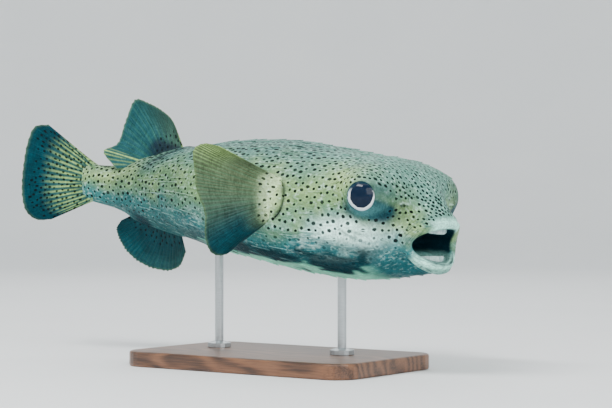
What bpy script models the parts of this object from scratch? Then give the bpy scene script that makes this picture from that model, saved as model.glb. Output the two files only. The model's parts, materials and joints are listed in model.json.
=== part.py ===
"""A life-size spot-fin porcupinefish, swimming with its mouth open, held on a display stand.

The fish is modelled straight, in a frame of its own: u runs back from the lips, y to its left and z up.
Its body is one lofted form, parted by thin cuts into head, trunk and tail. bend() then curves it sideways
along its length, and the empty fish_pose tips it nose-down and lifts it onto the stand. The origin is the
middle of the stand's underside.
"""

import math

import bmesh
import bpy
import numpy as np
from mathutils import Matrix, Vector

MM = 0.001
GAP = 0.3 * MM  # between two pieces that touch

# The pose
STANDARD_LENGTH = 414 * MM  # lips to the root of the tail fin
PITCH = math.radians(6.2)  # nose down
HEAD_YAW = math.radians(-6.0)  # the head turns to the fish's right
TAIL_YAW = math.radians(6.0)
BEND = (TAIL_YAW - HEAD_YAW) / STANDARD_LENGTH
SNOUT_PLACE = (184 * MM, 0.0, 124 * MM)

# The body, in millimetres
# station u, half width, top, bottom, height of the widest place, how far the sides lie behind, squareness
STATIONS = np.array([
    (4.5, 35.0, 11.0, -35.5, -12.0, 18.0, 2.0),  # root of the lips
    (12, 38.0, 21.5, -37.5, -10.5, 17.0, 1.65),
    (22, 42.5, 33.5, -39.5, -5.5, 13.0, 1.6),  # snout
    (36, 51.5, 46.5, -42.5, 4.0, 6.0, 2.2),
    (53, 58.0, 54.5, -46.5, 10.0, 1.0, 2.7),  # eyes
    (95, 64.0, 59.5, -52.0, 2.0, 0.0, 2.45),  # nape
    (140, 68.0, 62.5, -52.5, -2.0, 0.0, 2.2),  # gill slits
    (190, 67.0, 63.0, -50.0, -2.0, 0.0, 2.1),  # belly
    (235, 60.0, 59.0, -46.0, 2.0, 0.0, 2.05),
    (278, 47.0, 51.0, -41.0, 4.0, 0.0, 2.0),
    (317, 33.0, 41.0, -35.0, 3.0, 0.0, 2.0),  # back fin and vent
    (351, 22.0, 29.5, -29.5, 1.0, 0.0, 2.0),
    (385, 14.0, 21.0, -21.0, -1.0, 0.0, 2.0),  # tail stalk
    (414, 9.0, 18.5, -17.5, 0.0, 0.0, 2.0),
])
HEAD_END = 140 * MM
TRUNK_END = 368 * MM
RING_SIDES = 40

# The mouth, open
MOUTH_HEIGHT = -12 * MM  # of its middle
MOUTH_HALF_WIDTH = 31 * MM  # at the crest of the lips
MOUTH_HALF_HEIGHT = 18.75 * MM
MOUTH_SETBACK = 18 * MM  # of the corners behind the middle of the lips
LIP_RADIUS = 4.5 * MM
CAVITY_DEPTH = 44 * MM
JAW_LEAN = 0.12  # slope of the mouth, its lower lip behind the upper one
JAW_LENGTH = 70 * MM

# The eyes
EYE_CENTRE = np.array((56.5, 50.5, 25)) * MM  # of the left one; the right one mirrors it
EYE_RADIUS = 18 * MM
ORBIT_PLACE = (55 * MM, 25 * MM)  # u and z of the middle of the low dome round the eye
ORBIT_HALF_WIDTH = 65 * MM
ORBIT_RIM = 13 * MM  # radius of the eye's opening
ORBIT_REACH = 34 * MM
ORBIT_FALL = 1.8 * MM  # of the dome, from its middle to the rim
ORBIT_TURN = 0.12  # slope that turns the dome a little forward

# The tooth plates
TOOTH_FRONT = 8.5 * MM  # behind the crest of the lips
TOOTH_HALF_WIDTH = 20 * MM
TOOTH_HEIGHT = 5 * MM  # above the gum
TOOTH_ROOT = 3.5 * MM  # in the gum
TOOTH_THICKNESS = 4.5 * MM
TOOTH_EDGE = 1.2 * MM  # width of the bevel along the cutting edge

# The fins, in millimetres: ends of rays from the front one to the rear one, as (u, y, z)
BACK_FIN_ROOT = (306 * MM, 356 * MM)
BACK_FIN_EDGE = (
    (315, 1, 52), (328, 3, 70), (345, 6, 79), (361, 8, 84), (380, 10, 86), (388, 8, 63), (389, 0, 42),
    (394, -15, 33), (376, -14, 17),
)
ANAL_FIN_ROOT = (306 * MM, 358 * MM)
ANAL_FIN_EDGE = (
    (302, 8, -55), (311, 12, -70), (327, 15, -77), (349, 17, -77), (367, 17, -72), (380, 15, -63),
    (387, 12, -52), (388, 8, -42), (380, 4, -33),
)
TAIL_FIN_EDGE = (
    (475, 0, 53), (494, 3, 49), (502, 4, 31), (503, 2, 12), (502, 0, -6), (498, -3, -22), (491, -4, -36),
    (478, -3, -43), (462, 0, -41),
)
# and of the pectoral fins, from the top one down, as distances back and up from the middle of the root
PECTORAL_EDGE = (
    (53, 41), (67, 42), (76, 35), (73, 16), (70, 1), (61, -19), (59, -39), (52, -53), (40, -54), (29, -45),
)
PECTORAL_ROOT = (146 * MM, 14 * MM)  # u and z of the middle of it
PECTORAL_HALF_ROOT = 16 * MM
PECTORAL_CURL = 9  # mm that the top of the edge turns out, and its foot in
ROOT_DEPTH = 5 * MM  # that each fin's root lies in the body
FIN_EDGE = 1.1 * MM  # thickness of the webs
FLESHY_SHARE = 0.14  # of a fin's length, over which its root thins out

# The stand
BASE_SIZE = (250 * MM, 150 * MM, 14 * MM)
BASE_CORNER = 22 * MM
BASE_EDGE = 2 * MM
ROD_RADIUS = 4 * MM
ROD_FOOT_RADIUS = 11 * MM
ROD_FOOT_HEIGHT = 4 * MM
ROD_SIDES = 16
ROD_STATIONS = (("front", 120 * MM), ("rear", 262 * MM))

SKIN_COLOUR = (0.46, 0.50, 0.33, 1.0)
FIN_COLOUR = (0.12, 0.22, 0.17, 1.0)
EYE_COLOUR = (0.01, 0.03, 0.09, 1.0)
TOOTH_COLOUR = (0.72, 0.78, 0.74, 1.0)
WOOD_COLOUR = (0.16, 0.09, 0.05, 1.0)
STEEL_COLOUR = (0.55, 0.56, 0.57, 1.0)


def smooth(at, knots, values):
    """The curve through the values at the knots that leaves each with the slope of its neighbours."""
    slopes = np.gradient(values, knots, axis=0)
    i = np.clip(np.searchsorted(knots, at) - 1, 0, len(knots) - 2)
    step = knots[i + 1] - knots[i]
    t = (at - knots[i]) / step
    if np.ndim(values) > 1:
        step, t = step[..., None], t[..., None]
    return (
        (2 * t**3 - 3 * t**2 + 1) * values[i]
        + (t**3 - 2 * t**2 + t) * step * slopes[i]
        + (3 * t**2 - 2 * t**3) * values[i + 1]
        + (t**3 - t**2) * step * slopes[i + 1]
    )


def section(u):
    """Half width, top, bottom, height of the widest place, setback and squareness at station u."""
    knots = STATIONS[:, 0] * MM
    sizes = [smooth(u, knots, STATIONS[:, k] * MM) for k in range(1, 6)]
    return (*sizes, smooth(u, knots, STATIONS[:, 6]))


def ring(u, half_width, top, bottom, middle, setback, squareness):
    """One closed outline round the body: the left side first, then over the back."""
    angle = np.linspace(0, 2 * math.pi, RING_SIDES, endpoint=False)
    across, upward = np.cos(angle), np.sin(angle)
    power = 2 / squareness
    wide = np.sign(across) * np.abs(across) ** power
    high = np.sign(upward) * np.abs(upward) ** power
    height = np.where(high > 0, top - middle, middle - bottom)
    return np.stack([u + setback * across**2, half_width * wide, middle + height * high], axis=1)


def body_ring(u, margin=0.0):
    """The body's outline at station u, outside it by margin."""
    half_width, top, bottom, middle, setback, squareness = section(u)
    return swell(ring(u, half_width + margin, top + margin, bottom - margin, middle, setback, squareness))


def mouth_ring(u, inset):
    """An outline inside the crest of the lips by inset, or outside it where inset is negative."""
    half_height = MOUTH_HALF_HEIGHT - inset
    setback = MOUTH_SETBACK * max(0.0, 1 - u / CAVITY_DEPTH)
    top, bottom = MOUTH_HEIGHT + half_height, MOUTH_HEIGHT - half_height
    return lean(ring(u, MOUTH_HALF_WIDTH - inset, top, bottom, MOUTH_HEIGHT, setback, 2.0))


def lean(points):
    """Sets the lower jaw back and the upper one forward, less and less towards the eyes."""
    u, y, z = points.T
    return np.stack([u + JAW_LEAN * (MOUTH_HEIGHT - z) * np.clip(1 - u / JAW_LENGTH, 0, 1), y, z], axis=1)


def swell(points):
    """Raises the head's sides to an even dome round each eye."""
    u, y, z = lean(points).T
    off = np.hypot(u - ORBIT_PLACE[0], z - ORBIT_PLACE[1])
    near = np.clip((ORBIT_REACH - off) / (ORBIT_REACH - ORBIT_RIM), 0, 1)
    near = near**2 * (3 - 2 * near) * (np.abs(y) > ORBIT_HALF_WIDTH / 3)
    dome = ORBIT_HALF_WIDTH - ORBIT_FALL * (off / ORBIT_RIM) ** 2 - ORBIT_TURN * (ORBIT_PLACE[0] - u)
    return np.stack([u, y + np.sign(y) * near * (dome - np.abs(y)), z], axis=1)


def flank(u, z):
    """Distance of the body's side from its middle plane at station u and height z."""
    half_width, top, bottom, middle, _, squareness = section(u)
    share = np.where(z > middle, (z - middle) / (top - middle), (middle - z) / (middle - bottom))
    return half_width * (1 - share**squareness) ** (1 / squareness)


def bend(points):
    """Curves the straight fish sideways along its length, u becoming -X."""
    u, y, z = np.moveaxis(np.asarray(points, float), -1, 0)
    yaw = HEAD_YAW + BEND * u
    x = -(np.sin(yaw) - math.sin(HEAD_YAW)) / BEND - y * np.sin(yaw)
    left = (np.cos(yaw) - math.cos(HEAD_YAW)) / BEND + y * np.cos(yaw)
    return np.stack([x, left, z], axis=-1)


def material(name, colour, roughness, metallic=0.0):
    made = bpy.data.materials.new(name)
    made.use_nodes = True
    shader = made.node_tree.nodes["Principled BSDF"]
    shader.inputs["Base Color"].default_value = colour
    shader.inputs["Roughness"].default_value = roughness
    shader.inputs["Metallic"].default_value = metallic
    return made


def add_object(name, form, look, parent=None):
    """Makes form an object with its faces pointing out. With no look it is a hidden cutter."""
    bmesh.ops.recalc_face_normals(form, faces=form.faces)
    mesh = bpy.data.meshes.new(name)
    form.to_mesh(mesh)
    form.free()
    mesh.shade_smooth()
    mesh.set_sharp_from_angle(angle=math.radians(40))
    made = bpy.data.objects.new(name, mesh)
    made.parent = parent
    bpy.context.scene.collection.objects.link(made)
    if look:
        mesh.materials.append(look)
    else:
        made.hide_render = True
        made.display_type = "WIRE"
    return made


def loft(name, rings, look, parent):
    """A closed solid through the rings, with a fan of faces over each end."""
    form = bmesh.new()
    rows = [[form.verts.new(point) for point in bend(outline)] for outline in rings]
    sides = len(rows[0])
    for here, after in zip(rows, rows[1:]):
        for s in range(sides):
            form.faces.new((here[s], here[s - 1], after[s - 1], after[s]))
    ends = [form.faces.new(rows[0]), form.faces.new(rows[-1][::-1])]
    bmesh.ops.poke(form, faces=ends)
    return add_object(name, form, look, parent)


def cut(target, cutter):
    difference = target.modifiers.new(cutter.name, "BOOLEAN")
    difference.operation = "DIFFERENCE"
    difference.solver = "EXACT"
    difference.object = cutter


def mouth_rings():
    """From the back of the open mouth, forward to the lips and round their crest."""
    rings = []
    for share in (0.98, 0.85, 0.62, 0.4, 0.22):
        inset = LIP_RADIUS + (MOUTH_HALF_HEIGHT - LIP_RADIUS) * 0.72 * share**2.2
        rings.append(mouth_ring(LIP_RADIUS + (CAVITY_DEPTH - LIP_RADIUS) * share, inset))
    for degrees in (-90, -60, -30, 0, 30, 60):
        turn = math.radians(degrees)
        rings.append(mouth_ring(LIP_RADIUS * (1 - math.cos(turn)), -LIP_RADIUS * math.sin(turn)))
    return rings


def build_body(parent):
    """Head, trunk and tail, and the guard: the whole body and a gap round it, which cuts what meets it."""
    look = material("skin", SKIN_COLOUR, 0.45)
    head = [STATIONS[0, 0], 8, 12, 17, 22, 27, 32, 37, 42, 47, 52, 57, 62, 67, 72, 78, 85, 94, 106, 122]
    stations = [*(u * MM for u in head), HEAD_END]
    pieces = {"head": loft("head", mouth_rings() + [body_ring(u) for u in stations], look, parent)}
    trunk = np.linspace(HEAD_END + GAP, TRUNK_END, 13)
    pieces["trunk"] = loft("trunk", [body_ring(u) for u in trunk], look, parent)
    tail = np.linspace(TRUNK_END + GAP, STANDARD_LENGTH, 5)
    pieces["tail"] = loft("tail", [body_ring(u) for u in tail], look, parent)
    whole = [*np.linspace(12 * MM, HEAD_END, 12), *trunk[1:], *tail[1:-1], STANDARD_LENGTH + GAP]
    pieces["guard"] = loft("body_guard", [body_ring(u, GAP) for u in whole], None, parent)
    return pieces


def ball(name, centre, radius, look, parent):
    """A sphere with one pole pointing out of the eye."""
    form = bmesh.new()
    place = Matrix.Translation(bend(centre)) @ Matrix.Rotation(math.pi / 2, 4, "X")
    bmesh.ops.create_uvsphere(form, u_segments=20, v_segments=12, radius=radius, matrix=place)
    return add_object(name, form, look, parent)


def build_eyes(head, parent):
    look = material("eye", EYE_COLOUR, 0.05)
    for side, sign in (("left", 1), ("right", -1)):
        centre = EYE_CENTRE * (1, sign, 1)
        ball(f"eye_{side}", centre, EYE_RADIUS, look, parent)
        cut(head, ball(f"socket_{side}", centre, EYE_RADIUS + GAP, None, parent))


def tooth_plate(name, toward, margin, look, parent):
    """A curved beak plate with a blunt cutting edge, its root in the jaw. toward is 1 for the upper one."""
    wall = MOUTH_HEIGHT + toward * (MOUTH_HALF_HEIGHT - LIP_RADIUS)
    root = wall + toward * (TOOTH_ROOT + margin)
    reach = TOOTH_HALF_WIDTH + margin
    rings = []
    for y in np.linspace(-reach, reach, 11):
        front = TOOTH_FRONT + 0.78 * MOUTH_SETBACK * (y / TOOTH_HALF_WIDTH) ** 2 - margin
        back = front + TOOTH_THICKNESS + 2 * margin
        share = 1 - 0.55 * abs(y / TOOTH_HALF_WIDTH) ** 3
        edge = wall - toward * (TOOTH_HEIGHT * share + margin)
        lip = edge + toward * TOOTH_EDGE
        outline = [(front, root), (front, lip), (front + TOOTH_EDGE, edge), (front + 2 * TOOTH_EDGE, edge)]
        outline += [(back, lip), (back, root)]
        rings.append(np.array([(u, y, z) for u, z in outline]))
    return loft(name, rings, look, parent)


def build_teeth(head, parent):
    look = material("tooth", TOOTH_COLOUR, 0.2)
    for name, toward in (("upper", 1), ("lower", -1)):
        tooth_plate(f"tooth_plate_{name}", toward, 0.0, look, parent)
        cut(head, tooth_plate(f"gum_slot_{name}", toward, GAP, None, parent))


def fin(name, root, edge, thickness, bow, look, parent):
    """A thin curved plate from root(a) to the smooth edge, a running across its rays from the front one.

    thickness is the fleshy root's, which thins out to FIN_EDGE. The rays curve to the left by bow.
    """
    rays, rows = 18, 5
    form = bmesh.new()
    bmesh.ops.create_grid(form, x_segments=rays, y_segments=rows, size=0.5)
    a, b = np.array([(vert.co.x + 0.5, vert.co.y + 0.5) for vert in form.verts]).T
    edge = np.array(edge, float) * MM
    ends = smooth(a, np.linspace(0, 1, len(edge)), edge)
    start = root(a)
    middle = start + (ends - start) * b[:, None]
    middle[:, 1] += bow * np.sin(a * math.pi) * np.sin(b * math.pi)
    for vert, place in zip(form.verts, bend(middle)):
        vert.co = place
    made = add_object(name, form, look, parent)
    weights = made.vertex_groups.new(name="thickness")
    share = FIN_EDGE / thickness
    for index, along in enumerate(b):
        weights.add([index], share + (1 - share) * math.exp(-along / FLESHY_SHARE), "REPLACE")
    plate = made.modifiers.new("plate", "SOLIDIFY")
    plate.thickness = thickness
    plate.offset = 0
    plate.vertex_group = weights.name
    return made


def midline_root(ends, toward):
    """The root of a fin along the back (toward 1) or the belly (toward -1), sunk in the body."""

    def root(a):
        u = ends[0] + (ends[1] - ends[0]) * a
        _, top, bottom, *_ = section(u)
        z = top - ROOT_DEPTH if toward > 0 else bottom + ROOT_DEPTH
        return np.stack([u, np.zeros_like(u), z], axis=-1)

    return root


def tail_root(a):
    """The upright root of the tail fin."""
    _, top, bottom, *_ = section(STANDARD_LENGTH)
    z = (top + (bottom - top) * a) * 0.9
    return np.stack([np.full_like(a, STANDARD_LENGTH - ROOT_DEPTH), np.zeros_like(a), z], axis=-1)


def build_pectoral_fin(side, sign, swing, tilt, look, parent):
    """A pectoral fin swung out from the flank by swing degrees and turned down by tilt degrees."""
    swing, tilt = math.radians(swing), math.radians(tilt)
    u, z = PECTORAL_ROOT
    back, up = np.array(PECTORAL_EDGE, float).T
    back, up = back * math.cos(tilt) + up * math.sin(tilt), up * math.cos(tilt) - back * math.sin(tilt)
    curl = PECTORAL_CURL * np.linspace(1, -1, len(up)) ** 3
    rearward = back * math.cos(swing) - curl * math.sin(swing)
    outward = back * math.sin(swing) + curl * math.cos(swing)
    place = (u / MM + rearward, sign * (flank(u, z) / MM + outward), z / MM + up)
    edge = np.stack(place, axis=-1)

    def root(a):
        heights = z + PECTORAL_HALF_ROOT * (1 - 2 * a)
        return np.stack([np.full_like(a, u), sign * (flank(u, heights) - ROOT_DEPTH), heights], axis=-1)

    return fin(f"fin_pectoral_{side}", root, edge, 10 * MM, sign * 6 * MM, look, parent)


def build_fins(guard, parent):
    look = material("fin", FIN_COLOUR, 0.4)
    fins = [
        fin("fin_dorsal", midline_root(BACK_FIN_ROOT, 1), BACK_FIN_EDGE, 9 * MM, 5 * MM, look, parent),
        fin("fin_anal", midline_root(ANAL_FIN_ROOT, -1), ANAL_FIN_EDGE, 8 * MM, 4 * MM, look, parent),
        fin("fin_caudal", tail_root, TAIL_FIN_EDGE, 14 * MM, 0.0, look, parent),
        build_pectoral_fin("right", -1, 38, 0, look, parent),
        build_pectoral_fin("left", 1, 32, 14, look, parent),
    ]
    for made in fins:
        cut(made, guard)


def build_base(look):
    """A flat board with round corners and a softened rim."""
    length, width, height = BASE_SIZE
    form = bmesh.new()
    place = Matrix.Translation((0, 0, height / 2)) @ Matrix.Diagonal((length, width, height, 1))
    bmesh.ops.create_cube(form, size=1, matrix=place)
    upright = [edge for edge in form.edges if abs(edge.verts[0].co.z - edge.verts[1].co.z) > height / 2]
    bmesh.ops.bevel(form, geom=upright, offset=BASE_CORNER, segments=6, profile=0.5, affect="EDGES")
    base = add_object("stand_base", form, look)
    rim = base.modifiers.new("rim", "BEVEL")
    rim.limit_method = "ANGLE"
    rim.angle_limit = math.radians(40)
    rim.width = BASE_EDGE
    rim.segments = 2


def build_rod(name, place, guard, look):
    """A turned steel rod on a round foot, its top cut to the belly."""
    foot = BASE_SIZE[2] + GAP
    shoulder = foot + ROD_FOOT_HEIGHT
    neck = (ROD_RADIUS, shoulder + ROD_FOOT_HEIGHT / 2)
    profile = [(0, foot), (ROD_FOOT_RADIUS, foot), (ROD_FOOT_RADIUS, shoulder), neck]
    profile += [(ROD_RADIUS, place.z), (0, place.z)]
    form = bmesh.new()
    line = [form.verts.new((place.x + radius, place.y, z)) for radius, z in profile]
    edges = [form.edges.new(pair) for pair in zip(line, line[1:])]
    turn = {"cent": place, "axis": (0, 0, 1), "angle": 2 * math.pi, "steps": ROD_SIDES}
    bmesh.ops.spin(form, geom=line + edges, use_merge=True, **turn)
    bmesh.ops.remove_doubles(form, verts=form.verts, dist=0.01 * MM)
    cut(add_object(name, form, look), guard)


def build_stand(guard, pose):
    build_base(material("wood", WOOD_COLOUR, 0.35))
    steel = material("steel", STEEL_COLOUR, 0.3, 1.0)
    for name, station in ROD_STATIONS:
        build_rod(f"stand_rod_{name}", pose @ Vector(bend((station, 0, 0))), guard, steel)


def main():
    for old in list(bpy.data.objects):
        bpy.data.objects.remove(old)
    pose = bpy.data.objects.new("fish_pose", None)
    bpy.context.scene.collection.objects.link(pose)
    pose.location = SNOUT_PLACE
    pose.rotation_euler = (0, PITCH, 0)
    bpy.context.view_layer.update()
    body = build_body(pose)
    build_eyes(body["head"], pose)
    build_teeth(body["head"], pose)
    build_fins(body["guard"], pose)
    build_stand(body["guard"], pose.matrix_world)


main()
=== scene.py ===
"""A life-size spot-fin porcupinefish on a display stand: its skin, spines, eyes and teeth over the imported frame.

The fish is shaped straight, in a frame of its own in metres: u runs back from the lips, y to its left and z up.
Pose.place then curves it sideways, tips it nose-down and lifts it onto the stand.
"""

import json
import logging
import math
from collections.abc import Callable, Iterable, Iterator
from contextlib import contextmanager
from dataclasses import dataclass, field
from enum import Enum
from itertools import product

import bmesh
import bpy
import numpy as np
from mathutils import Euler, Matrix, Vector
from mathutils.bvhtree import BVHTree
from mathutils.kdtree import KDTree

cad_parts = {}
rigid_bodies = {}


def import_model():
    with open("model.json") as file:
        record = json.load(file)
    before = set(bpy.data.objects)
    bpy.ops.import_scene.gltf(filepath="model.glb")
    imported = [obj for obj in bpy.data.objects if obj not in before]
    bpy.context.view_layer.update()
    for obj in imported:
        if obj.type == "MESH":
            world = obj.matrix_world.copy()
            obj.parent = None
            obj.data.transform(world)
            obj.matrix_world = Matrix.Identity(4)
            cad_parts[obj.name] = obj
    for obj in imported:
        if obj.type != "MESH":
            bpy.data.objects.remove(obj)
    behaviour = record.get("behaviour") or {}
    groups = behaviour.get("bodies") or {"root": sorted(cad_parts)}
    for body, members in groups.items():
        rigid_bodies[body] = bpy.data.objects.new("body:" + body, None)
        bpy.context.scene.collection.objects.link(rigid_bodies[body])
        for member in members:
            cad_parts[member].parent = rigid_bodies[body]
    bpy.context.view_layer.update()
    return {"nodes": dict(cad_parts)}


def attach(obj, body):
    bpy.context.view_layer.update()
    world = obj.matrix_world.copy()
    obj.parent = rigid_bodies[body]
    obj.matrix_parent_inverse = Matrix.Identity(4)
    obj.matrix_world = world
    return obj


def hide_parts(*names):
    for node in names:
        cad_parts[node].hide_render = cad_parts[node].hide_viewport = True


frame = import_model()
LOG = logging.getLogger("porcupinefish")
MM = 0.001
Array = np.ndarray
Piece = bpy.types.Object
Tree = bpy.types.NodeTree
Socket = bpy.types.NodeSocket


def linear(code: str) -> tuple[float, float, float, float]:
    """Turns an sRGB hex colour, such as "A0B0C0", to linear red, green and blue and an alpha of 1."""
    parts = [int(code[k : k + 2], 16) / 255 for k in (0, 2, 4)]
    return (*(c / 12.92 if c <= 0.04045 else ((c + 0.055) / 1.055) ** 2.4 for c in parts), 1.0)


def rise(value: Array | float, low: float, high: float) -> Array:
    """A smooth step from 0 where value is low to 1 where it is high, which may be under low, for a step down."""
    t = np.clip((value - low) / (high - low), 0, 1)
    return t * t * (3 - 2 * t)


def hump(*spans: Array) -> Array:
    """A bell that is 1 in the middle; each span is a distance over the bell's width."""
    return np.exp(-sum(span * span for span in spans))


def most(*amounts: Array) -> Array:
    """The greatest of some amounts at each place."""
    return np.maximum.reduce(amounts)


def unit(vectors: Array) -> Array:
    """Vectors of the same directions, each of length 1."""
    return vectors / np.maximum(np.linalg.norm(vectors, axis=-1, keepdims=True), 1e-12)


def through(at: Array, knots: Array, values: Array) -> Array:
    """The curve through the values at the knots that leaves each with the slope of its neighbours.

    Args:
        at: where the curve is read.
        knots: rising numbers.
        values: a number or a row of numbers for each knot.

    Returns:
        The curve's values.
    """
    slopes = np.gradient(values, knots, axis=0)
    i = np.clip(np.searchsorted(knots, at) - 1, 0, len(knots) - 2)
    step = knots[i + 1] - knots[i]
    t = (at - knots[i]) / step
    if np.ndim(values) > 1:
        step, t = step[..., None], t[..., None]
    return (
        (2 * t**3 - 3 * t**2 + 1) * values[i]
        + (t**3 - 2 * t**2 + t) * step * slopes[i]
        + (3 * t**2 - 2 * t**3) * values[i + 1]
        + (t**3 - t**2) * step * slopes[i + 1]
    )


def lumps(points: Array, size: float, seed: int, stretch: tuple = (1, 1, 1)) -> Array:
    """Smooth value noise in space.

    Args:
        points: places, one a row.
        size: distance between lumps, in metres.
        seed: which noise it is.
        stretch: how much longer the lumps are along u, y and z.

    Returns:
        -1 to 1 for each place.
    """
    table = np.random.default_rng(seed).uniform(-1, 1, 4096)
    mixing = np.array([73856093, 19349663, 83492791])  # primes that spread the cells over the table
    place = points / (size * np.array(stretch)) + 1000.5  # so that no cell has a number under 0
    cell = np.floor(place).astype(np.int64)
    t = place - cell
    t = t * t * (3 - 2 * t)
    total = np.zeros(len(points))
    for corner in range(8):
        side = np.array([corner & 1, corner >> 1 & 1, corner >> 2])
        share = np.prod(np.where(side, t, 1 - t), axis=1)
        key = (cell + side) @ mixing
        total += share * table[(key ^ key >> 13) % len(table)]
    return total


@dataclass(frozen=True)
class Pose:
    """How the straight fish is curved, tipped and set over its stand."""

    length: float = 414 * MM
    pitch: float = math.radians(6.2)
    head_yaw: float = math.radians(-6.0)
    tail_yaw: float = math.radians(6.0)
    snout: tuple[float, float, float] = (184 * MM, 0.0, 124 * MM)

    def place(self, points: Array) -> Array:
        """Carries points from the straight fish to the stand.

        Args:
            points: (u, y, z) in the last axis.

        Returns:
            Their places in the frame of the object.
        """
        u, y, z = np.moveaxis(np.asarray(points, float), -1, 0)
        turn = (self.tail_yaw - self.head_yaw) / self.length
        yaw = self.head_yaw + turn * u
        x = -(np.sin(yaw) - math.sin(self.head_yaw)) / turn - y * np.sin(yaw)
        left = (np.cos(yaw) - math.cos(self.head_yaw)) / turn + y * np.cos(yaw)
        c, s = math.cos(self.pitch), math.sin(self.pitch)
        return np.stack([c * x + s * z, left, c * z - s * x], axis=-1) + np.array(self.snout)


@dataclass(frozen=True)
class BodyForm:
    """The outline of head, trunk and tail at each station, as the frame has it, and the dome round each eye."""

    # u, half width, top, bottom, height of the widest place, how far the sides lie behind, squareness
    stations: tuple = (
        (4.5, 35.0, 11.0, -35.5, -12.0, 18.0, 2.0),
        (12, 38.0, 21.5, -37.5, -10.5, 17.0, 1.65),
        (22, 42.5, 33.5, -39.5, -5.5, 13.0, 1.6),
        (36, 51.5, 46.5, -42.5, 4.0, 6.0, 2.2),
        (53, 58.0, 54.5, -46.5, 10.0, 1.0, 2.7),
        (95, 64.0, 59.5, -52.0, 2.0, 0.0, 2.45),
        (140, 68.0, 62.5, -52.5, -2.0, 0.0, 2.2),
        (190, 67.0, 63.0, -50.0, -2.0, 0.0, 2.1),
        (235, 60.0, 59.0, -46.0, 2.0, 0.0, 2.05),
        (278, 47.0, 51.0, -41.0, 4.0, 0.0, 2.0),
        (317, 33.0, 41.0, -35.0, 3.0, 0.0, 2.0),
        (351, 22.0, 29.5, -29.5, 1.0, 0.0, 2.0),
        (385, 14.0, 21.0, -21.0, -1.0, 0.0, 2.0),
        (414, 9.0, 18.5, -17.5, 0.0, 0.0, 2.0),
    )
    length: float = 414 * MM  # to the root of the tail fin
    mouth_height: float = -12 * MM
    mouth_half_width: float = 31 * MM
    mouth_half_height: float = 18.75 * MM
    mouth_setback: float = 18 * MM
    lip_radius: float = 4.5 * MM
    cavity_depth: float = 44 * MM
    jaw_lean: float = 0.12
    jaw_length: float = 70 * MM
    orbit: tuple[float, float] = (55 * MM, 25 * MM)
    orbit_half_width: float = 65 * MM
    orbit_rim: float = 13 * MM
    orbit_reach: float = 34 * MM
    orbit_fall: float = 1.8 * MM
    orbit_turn: float = 0.12

    def section(self, u: Array) -> list[Array]:
        """Half width, top, bottom, height of the widest place, setback and squareness at stations u."""
        knots, *columns, squareness = np.array(self.stations).T
        return [through(u, knots * MM, column) for column in (*(c * MM for c in columns), squareness)]

    def outline(self, u: Array, sizes: list[Array], angle: Array) -> Array:
        """Points round the fish.

        Args:
            u: the station of each ring.
            sizes: what section gives, for each ring.
            angle: the angles round each ring, 0 at its left side and 90 degrees over the back.

        Returns:
            A point for each ring and angle.
        """
        half_width, top, bottom, middle, setback, squareness = (np.asarray(s)[:, None] for s in sizes)
        across, upward = np.cos(angle)[None], np.sin(angle)[None]
        power = 2 / squareness
        wide = np.sign(across) * np.abs(across) ** power
        high = np.sign(upward) * np.abs(upward) ** power
        height = np.where(high > 0, top - middle, middle - bottom)
        points = [u[:, None] + setback * across**2, half_width * wide, middle + height * high]
        return self.swell(np.stack(np.broadcast_arrays(*points), axis=-1))

    def swell(self, points: Array) -> Array:
        """Sets the lower jaw back, and raises the head's sides to an even dome round each eye.

        Args:
            points: points of the straight fish.

        Returns:
            The points, moved.
        """
        u, y, z = np.moveaxis(points, -1, 0)
        u = u + self.jaw_lean * (self.mouth_height - z) * np.clip(1 - u / self.jaw_length, 0, 1)
        off = np.hypot(u - self.orbit[0], z - self.orbit[1])
        near = rise(off, self.orbit_reach, self.orbit_rim) * (np.abs(y) > self.orbit_half_width / 3)
        dome = self.orbit_half_width - self.orbit_fall * (off / self.orbit_rim) ** 2
        dome = dome - self.orbit_turn * (self.orbit[0] - u)
        return np.stack([u, y + np.sign(y) * near * (dome - np.abs(y)), z], axis=-1)

    def flank(self, u: float, z: Array) -> Array:
        """Distance of the body's side from its middle plane.

        Args:
            u: the station.
            z: heights.

        Returns:
            The distance at each height.
        """
        half_width, top, bottom, middle, _, squareness = self.section(np.array(u))
        share = np.where(z > middle, (z - middle) / (top - middle), (middle - z) / (middle - bottom))
        return half_width * (1 - share**squareness) ** (1 / squareness)

    def mouth_sizes(self, u: Array, inset: Array) -> list[Array]:
        """The sizes of the mouth's rings, as section gives them.

        Args:
            u: the station of each ring.
            inset: how far inside the crest of the lips it lies.

        Returns:
            Half width, top, bottom, height of the widest place, setback and squareness.
        """
        half = self.mouth_half_height - inset
        setback = self.mouth_setback * np.clip(1 - u / self.cavity_depth, 0, None)
        middle = np.full_like(u, self.mouth_height)
        top, bottom = middle + half, middle - half
        return [self.mouth_half_width - inset, top, bottom, middle, setback, np.full_like(u, 2.0)]


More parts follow.
